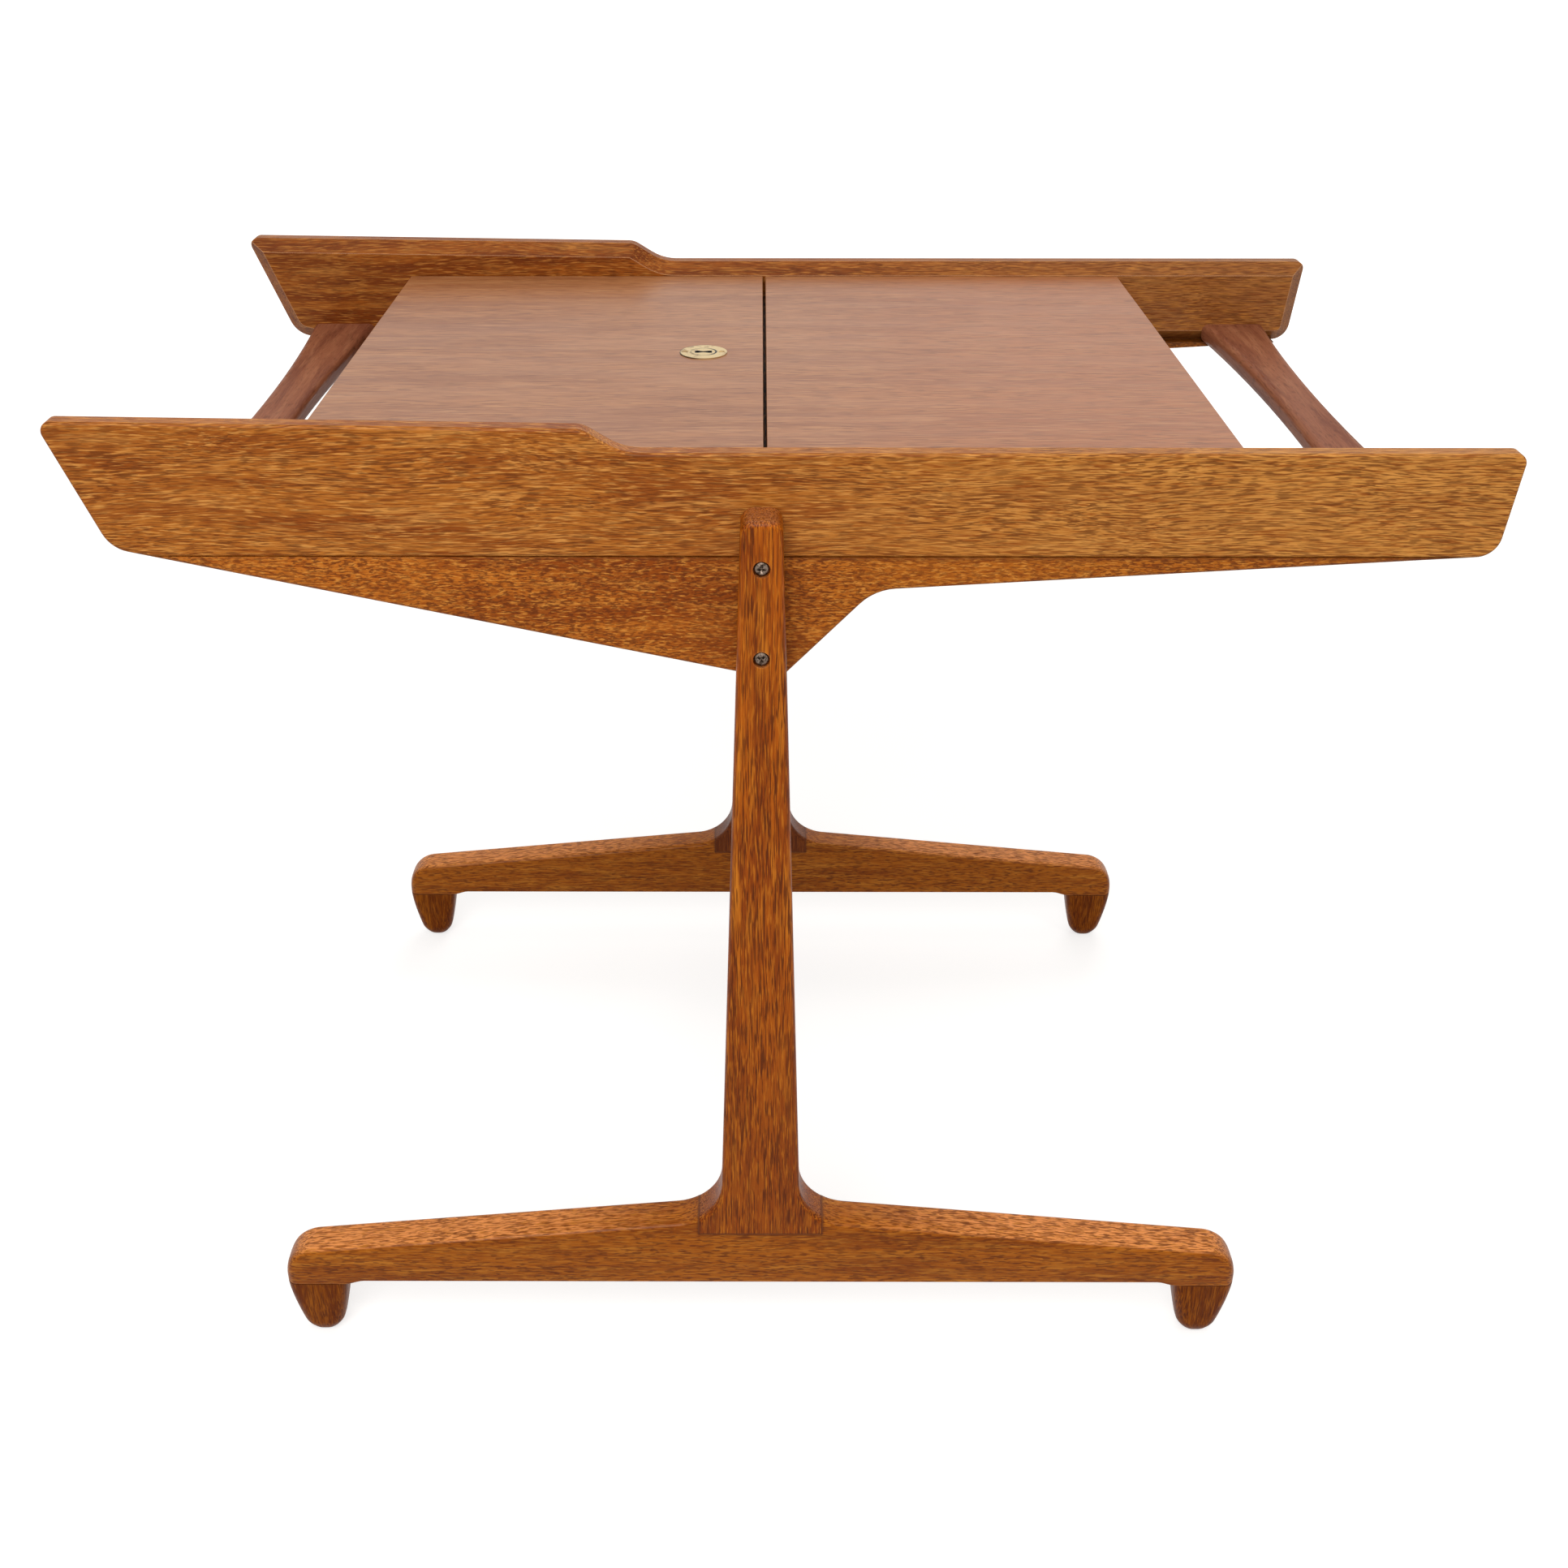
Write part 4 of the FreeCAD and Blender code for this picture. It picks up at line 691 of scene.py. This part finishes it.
# machined brass, handled for decades: pale where rubbed, brown where it has tarnished, with
# painted shade in its keyhole and round its plug
brassLook = {
    **zincLook, "clean": "#dcc391", "stain": "#8c6a42", "stainSize": 5.0, "stainAmount": 0.6,
    "scratchSize": 0.6, "roughness": 0.36, "shadeAndDirt": "#120c08",
    "marks": {
        "centre": (-51, 0, 0),
        # painted shade in the keyhole
        "keyhole": {"length": 5.6, "waist": 1.3, "flare": 2.5, "widens": 0.7,
                    "edge": (-0.2, 0.3)},
        # painted shadow in the gap round the plug, heavier on one side
        "rings": ({"radius": 8.3, "width": 0.9, "core": 0.4, "heavier": (1, 7),
                   "least": 0.35, "most": 1.0},
                  # a thin dark line round the flange's rim, heavier on one side
                  {"radius": 15.4, "width": 0.5, "core": 0.4, "heavier": (4, -8),
                   "least": 0.1, "most": 0.8}),
    },
}
brass = metalFinish("lockBrass", brassLook)
bronzedSteel = metalFinish("bronzedSteel", bronzedLook)
zincSteel = metalFinish("zincSteel", zincLook)
for nodeName in ("lock_housing", "lock_plug", "lock_screws"):
    dress(nodeName, brass)
for nodeName in ("lock_cam", "cam_screw", "lock_catch"):
    dress(nodeName, zincSteel)
print("metal finishes: 3")


# cross-headed wood screw, in metres, along -Y with the top of its head at the origin
screwShape = {
    "headRadius": 0.0042, "domeDrop": 0.0011, "headHeight": 0.003, "rimRound": 0.0004,
    "domeSteps": (0, 0.12, 0.35, 0.6, 0.82, 1),
    "crossHalfWidth": 0.00075, "crossHalfLength": 0.0027, "crossDepth": 0.0017,
    "crossTaper": 0.45, "crossDip": 0.0003,
    "shankRadius": 0.00225, "coreRadius": 0.0017, "threadPitch": 0.0018, "threads": 18,
    "rootAt": 0.1, "crestAt": 0.5, "tip": 0.0405, "pointLength": 0.008, "pointWidth": 0.25,
}
# two screws in each post, whose places come from the box round all four heads
screwLow, screwHigh = (Vector(corner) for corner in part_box("post_screws"))
headWidth = screwHigh.x - screwLow.x
screwRow = {
    "X": (screwLow.x + screwHigh.x) / 2, "Upper height": screwHigh.z - headWidth / 2,
    "Spacing": screwHigh.z - screwLow.z - headWidth, "Face": screwHigh.y,
    "Turn slack": 0.12, "Turn seed": 4,
}


def crossedHead(shape):
    # angles of the screw's points, and how far the cross reaches at each
    halfWidth, halfLength = shape["crossHalfWidth"], shape["crossHalfLength"]
    corner = math.atan(halfWidth / halfLength)
    quarter = [0, corner, (corner + math.pi / 4) / 2, math.pi / 4]
    quarter += [math.pi / 2 - angle for angle in (quarter[2], corner)]
    angles = [angle + turn * math.pi / 2 for turn in range(4) for angle in quarter]
    sides = [sorted((abs(math.cos(angle)), abs(math.sin(angle)))) for angle in angles]
    return angles, [min(halfLength / more, halfWidth / max(less, 1e-9)) for less, more in sides]


def makeScrewMesh(shape):
    angles, crossAt = crossedHead(shape)
    headRadius, drop, rimRound = shape["headRadius"], shape["domeDrop"], shape["rimRound"]
    # radius and depth of every point of each ring, from the floor of the cross to the tip
    rings = [[(reach * shape["crossTaper"], shape["crossDepth"]) for reach in crossAt]]
    for blend in shape["domeSteps"]:
        radii = [reach + (headRadius - rimRound - reach) * blend for reach in crossAt]
        rings.append([(radius, drop * (radius / headRadius) ** 2) for radius in radii])
    turned = [(headRadius, drop + rimRound), (headRadius, shape["headHeight"]),
              (shape["shankRadius"], shape["headHeight"])]
    start = shape["tip"] - shape["threadPitch"] * shape["threads"]
    for turn in range(shape["threads"]):
        for radius, part in ((shape["coreRadius"], shape["rootAt"]),
                             (shape["shankRadius"], shape["crestAt"])):
            depth = start + shape["threadPitch"] * (turn + part)
            narrow = shape["pointWidth"] + (shape["tip"] - depth) / shape["pointLength"]
            turned.append((radius * min(1, narrow), depth))
    rings += [[point] * len(angles) for point in turned]
    form = bmesh.new()
    loops = joinRings(form, [
        [(radius * math.cos(angle), depth, radius * math.sin(angle))
         for (radius, depth), angle in zip(ring, angles)] for ring in rings])
    ends = ((loops[0], shape["crossDepth"] + shape["crossDip"]), (loops[-1], shape["tip"]))
    for loop, depth in ends:
        end = form.verts.new((0, depth, 0))
        for i in range(len(angles)):
            form.faces.new((loop[i], loop[(i + 1) % len(angles)], end))
    bmesh.ops.recalc_face_normals(form, faces=form.faces)
    return finishMesh(form, "crossScrew")


def screwTree(finish):
    # stands the screw at its places on both posts, each turned as its driver left it
    tree = bpy.data.node_groups.new("postScrewRows", "GeometryNodeTree")
    tree.interface.new_socket("Geometry", in_out="INPUT", socket_type="NodeSocketGeometry")
    for name, value in screwRow.items():
        kind = "NodeSocketInt" if isinstance(value, int) else "NodeSocketFloat"
        tree.interface.new_socket(name, in_out="INPUT", socket_type=kind)
    tree.interface.new_socket("Geometry", in_out="OUTPUT", socket_type="NodeSocketGeometry")
    given = addNode(tree, "NodeGroupInput")
    back, down, least = [addNode(tree, "ShaderNodeMath", {"operation": "MULTIPLY"},
                                 {0: given.outputs[name], 1: -1.0}).outputs[0]
                         for name in ("Face", "Spacing", "Turn slack")]
    both = addNode(tree, "GeometryNodeJoinGeometry")
    # the screws of the front post look to the front, and those of the rear post to the rear
    for face, halfTurn in ((back, 0), (given.outputs["Face"], math.pi)):
        first = addNode(tree, "ShaderNodeCombineXYZ", None,
                        {0: given.outputs["X"], 1: face, 2: given.outputs["Upper height"]})
        step = addNode(tree, "ShaderNodeCombineXYZ", None, {2: down})
        line = addNode(tree, "GeometryNodeMeshLine", None,
                       {"Count": 2, "Start Location": first.outputs[0],
                        "Offset": step.outputs[0]})
        slack = addNode(tree, "FunctionNodeRandomValue", {"data_type": "FLOAT"},
                        {2: least, 3: given.outputs["Turn slack"],
                         "Seed": given.outputs["Turn seed"]})
        number = addNode(tree, "GeometryNodeInputIndex")
        spin = addNode(tree, "ShaderNodeMath", {"operation": "MULTIPLY_ADD"},
                       {0: number.outputs[0], 1: math.pi / 4, 2: slack.outputs[1]})
        turned = addNode(tree, "ShaderNodeCombineXYZ", None, {1: spin.outputs[0], 2: halfTurn})
        placed = addNode(tree, "GeometryNodeInstanceOnPoints", None,
                         {"Points": line.outputs[0], "Instance": given.outputs["Geometry"],
                          "Rotation": turned.outputs[0]})
        tree.links.new(placed.outputs[0], both.inputs[0])
    solid = addNode(tree, "GeometryNodeRealizeInstances", None, {0: both.outputs[0]})
    dressed = addNode(tree, "GeometryNodeSetMaterial", None,
                      {"Geometry": solid.outputs[0], "Material": finish})
    addNode(tree, "NodeGroupOutput", None, {0: dressed.outputs[0]})
    return tree


def makePostScrews():
    maker = bpy.data.objects.new("screwMaker", makeScrewMesh(screwShape))
    bpy.context.scene.collection.objects.link(maker)
    rows = maker.modifiers.new("postScrewRows", "NODES")
    rows.node_group = screwTree(bronzedSteel)
    for item in rows.node_group.interface.items_tree:
        if item.in_out == "INPUT" and item.name in screwRow:
            rows[item.identifier] = screwRow[item.name]
    shown = maker.evaluated_get(bpy.context.evaluated_depsgraph_get())
    mesh = bpy.data.meshes.new_from_object(shown)
    maker.modifiers.remove(rows)
    bpy.data.objects.remove(maker)
    mesh.name = "postScrewHeads"
    showOnTable(mesh, "post_screws")


makePostScrews()
print("post screws: 4")


studio = {
    "floorRadius": 14.0, "floorSides": 96, "floorColor": "#b9b7b4",
    "floorGlow": 0.66, "farGlow": 0.92, "glowReach": (0.9, 3.5),
    "skyStrength": 0.42, "skyColor": "#fffefc",
}


def seenOrMirrored(tree):
    # 1 for camera, glossy and transmission rays, so that metal and lacquer show the pale room too
    path = addNode(tree, "ShaderNodeLightPath")
    glossy = addNode(tree, "ShaderNodeMath", {"operation": "MAXIMUM"},
                     {0: path.outputs["Is Camera Ray"], 1: path.outputs["Is Glossy Ray"]})
    clear = addNode(tree, "ShaderNodeMath", {"operation": "MAXIMUM"},
                    {0: glossy.outputs[0], 1: path.outputs["Is Transmission Ray"]})
    return clear.outputs[0]


def makeFloor():
    form = bmesh.new()
    bmesh.ops.create_circle(form, cap_ends=True, radius=studio["floorRadius"],
                            segments=studio["floorSides"])
    mesh = finishMesh(form, "studioFloor")
    floor = bpy.data.objects.new("studioFloor", mesh)
    bpy.context.scene.collection.objects.link(floor)
    material, tree = startMaterial("studioPaper")
    matte = addNode(tree, "ShaderNodeBsdfDiffuse", None, {"Color": linear(studio["floorColor"])})
    # the paper shines a little more further out, where less lamp light falls on it
    source = addNode(tree, "ShaderNodeTexCoord")
    away = addNode(tree, "ShaderNodeVectorMath", {"operation": "LENGTH"},
                   {0: source.outputs["Object"]})
    near, far = studio["glowReach"]
    shine = addNode(tree, "ShaderNodeMapRange", smooth,
                    {"Value": away.outputs["Value"], "From Min": near, "From Max": far,
                     "To Min": studio["floorGlow"], "To Max": studio["farGlow"]})
    seen = addNode(tree, "ShaderNodeMath", {"operation": "MULTIPLY"},
                   {0: seenOrMirrored(tree), 1: shine.outputs[0]})
    glow = addNode(tree, "ShaderNodeEmission", None,
                   {"Color": (1, 1, 1, 1), "Strength": seen.outputs[0]})
    both = addNode(tree, "ShaderNodeAddShader", None, {0: matte.outputs[0], 1: glow.outputs[0]})
    addNode(tree, "ShaderNodeOutputMaterial", None, {"Surface": both.outputs[0]})
    mesh.materials.append(material)


def makeSky():
    world = bpy.data.worlds.new("studioRoom")
    bpy.context.scene.world = world
    world.use_nodes = True
    tree = world.node_tree
    tree.nodes.clear()
    strength = addNode(tree, "ShaderNodeMapRange", None,
                       {"Value": seenOrMirrored(tree), "To Min": studio["skyStrength"],
                        "To Max": 1.0})
    sky = addNode(tree, "ShaderNodeBackground", None,
                  {"Color": linear(studio["skyColor"]), "Strength": strength.outputs[0]})
    addNode(tree, "ShaderNodeOutputWorld", None, {"Surface": sky.outputs[0]})


softBoxes = {
    # name: place, aim, width, power
    "topBox": ((0.0, 0.1, 3.0), (0, 0, 0.3), 2.4, 8),
    "backBox": ((0.6, 2.6, 2.0), (0, 0, 0.3), 1.8, 30),
    "keyBox": ((-0.5, -2.3, 2.5), (0, 0, 0.3), 1.8, 64),
    "glintBox": ((1.5, -1.6, 2.3), (0, -0.25, 0.1), 0.45, 8),
}


def makeLights():
    for name, (place, aim, width, power) in softBoxes.items():
        light = bpy.data.lights.new(name, "AREA")
        light.shape = "SQUARE"
        light.size = width
        light.energy = power
        holder = bpy.data.objects.new(name, light)
        holder.location = place
        direction = Vector(aim) - Vector(place)
        holder.rotation_euler = direction.to_track_quat("-Z", "Y").to_euler()
        bpy.context.scene.collection.objects.link(holder)
        holder.visible_glossy = name != "backBox"  # from behind it would glare on the lid


viewpoint = {
    "place": (-0.0142, -1.1325, 0.9434), "tilt": 61.88, "turn": 0.15, "lens": 40.32,
    "shift": (0.0184, -0.0317), "clip": (0.05, 60),
}


def makeCamera():
    camera = bpy.data.cameras.new("tableCamera")
    camera.lens = viewpoint["lens"]
    camera.shift_x, camera.shift_y = viewpoint["shift"]
    camera.clip_start, camera.clip_end = viewpoint["clip"]
    holder = bpy.data.objects.new("tableCamera", camera)
    holder.location = viewpoint["place"]
    tilt, turn = math.radians(viewpoint["tilt"]), math.radians(viewpoint["turn"])
    holder.rotation_euler = (tilt, 0, turn)
    bpy.context.scene.collection.objects.link(holder)
    bpy.context.scene.camera = holder


makeFloor()
makeSky()
makeLights()
makeCamera()
bpy.context.scene.view_settings.view_transform = "Standard"
print("studio ready")
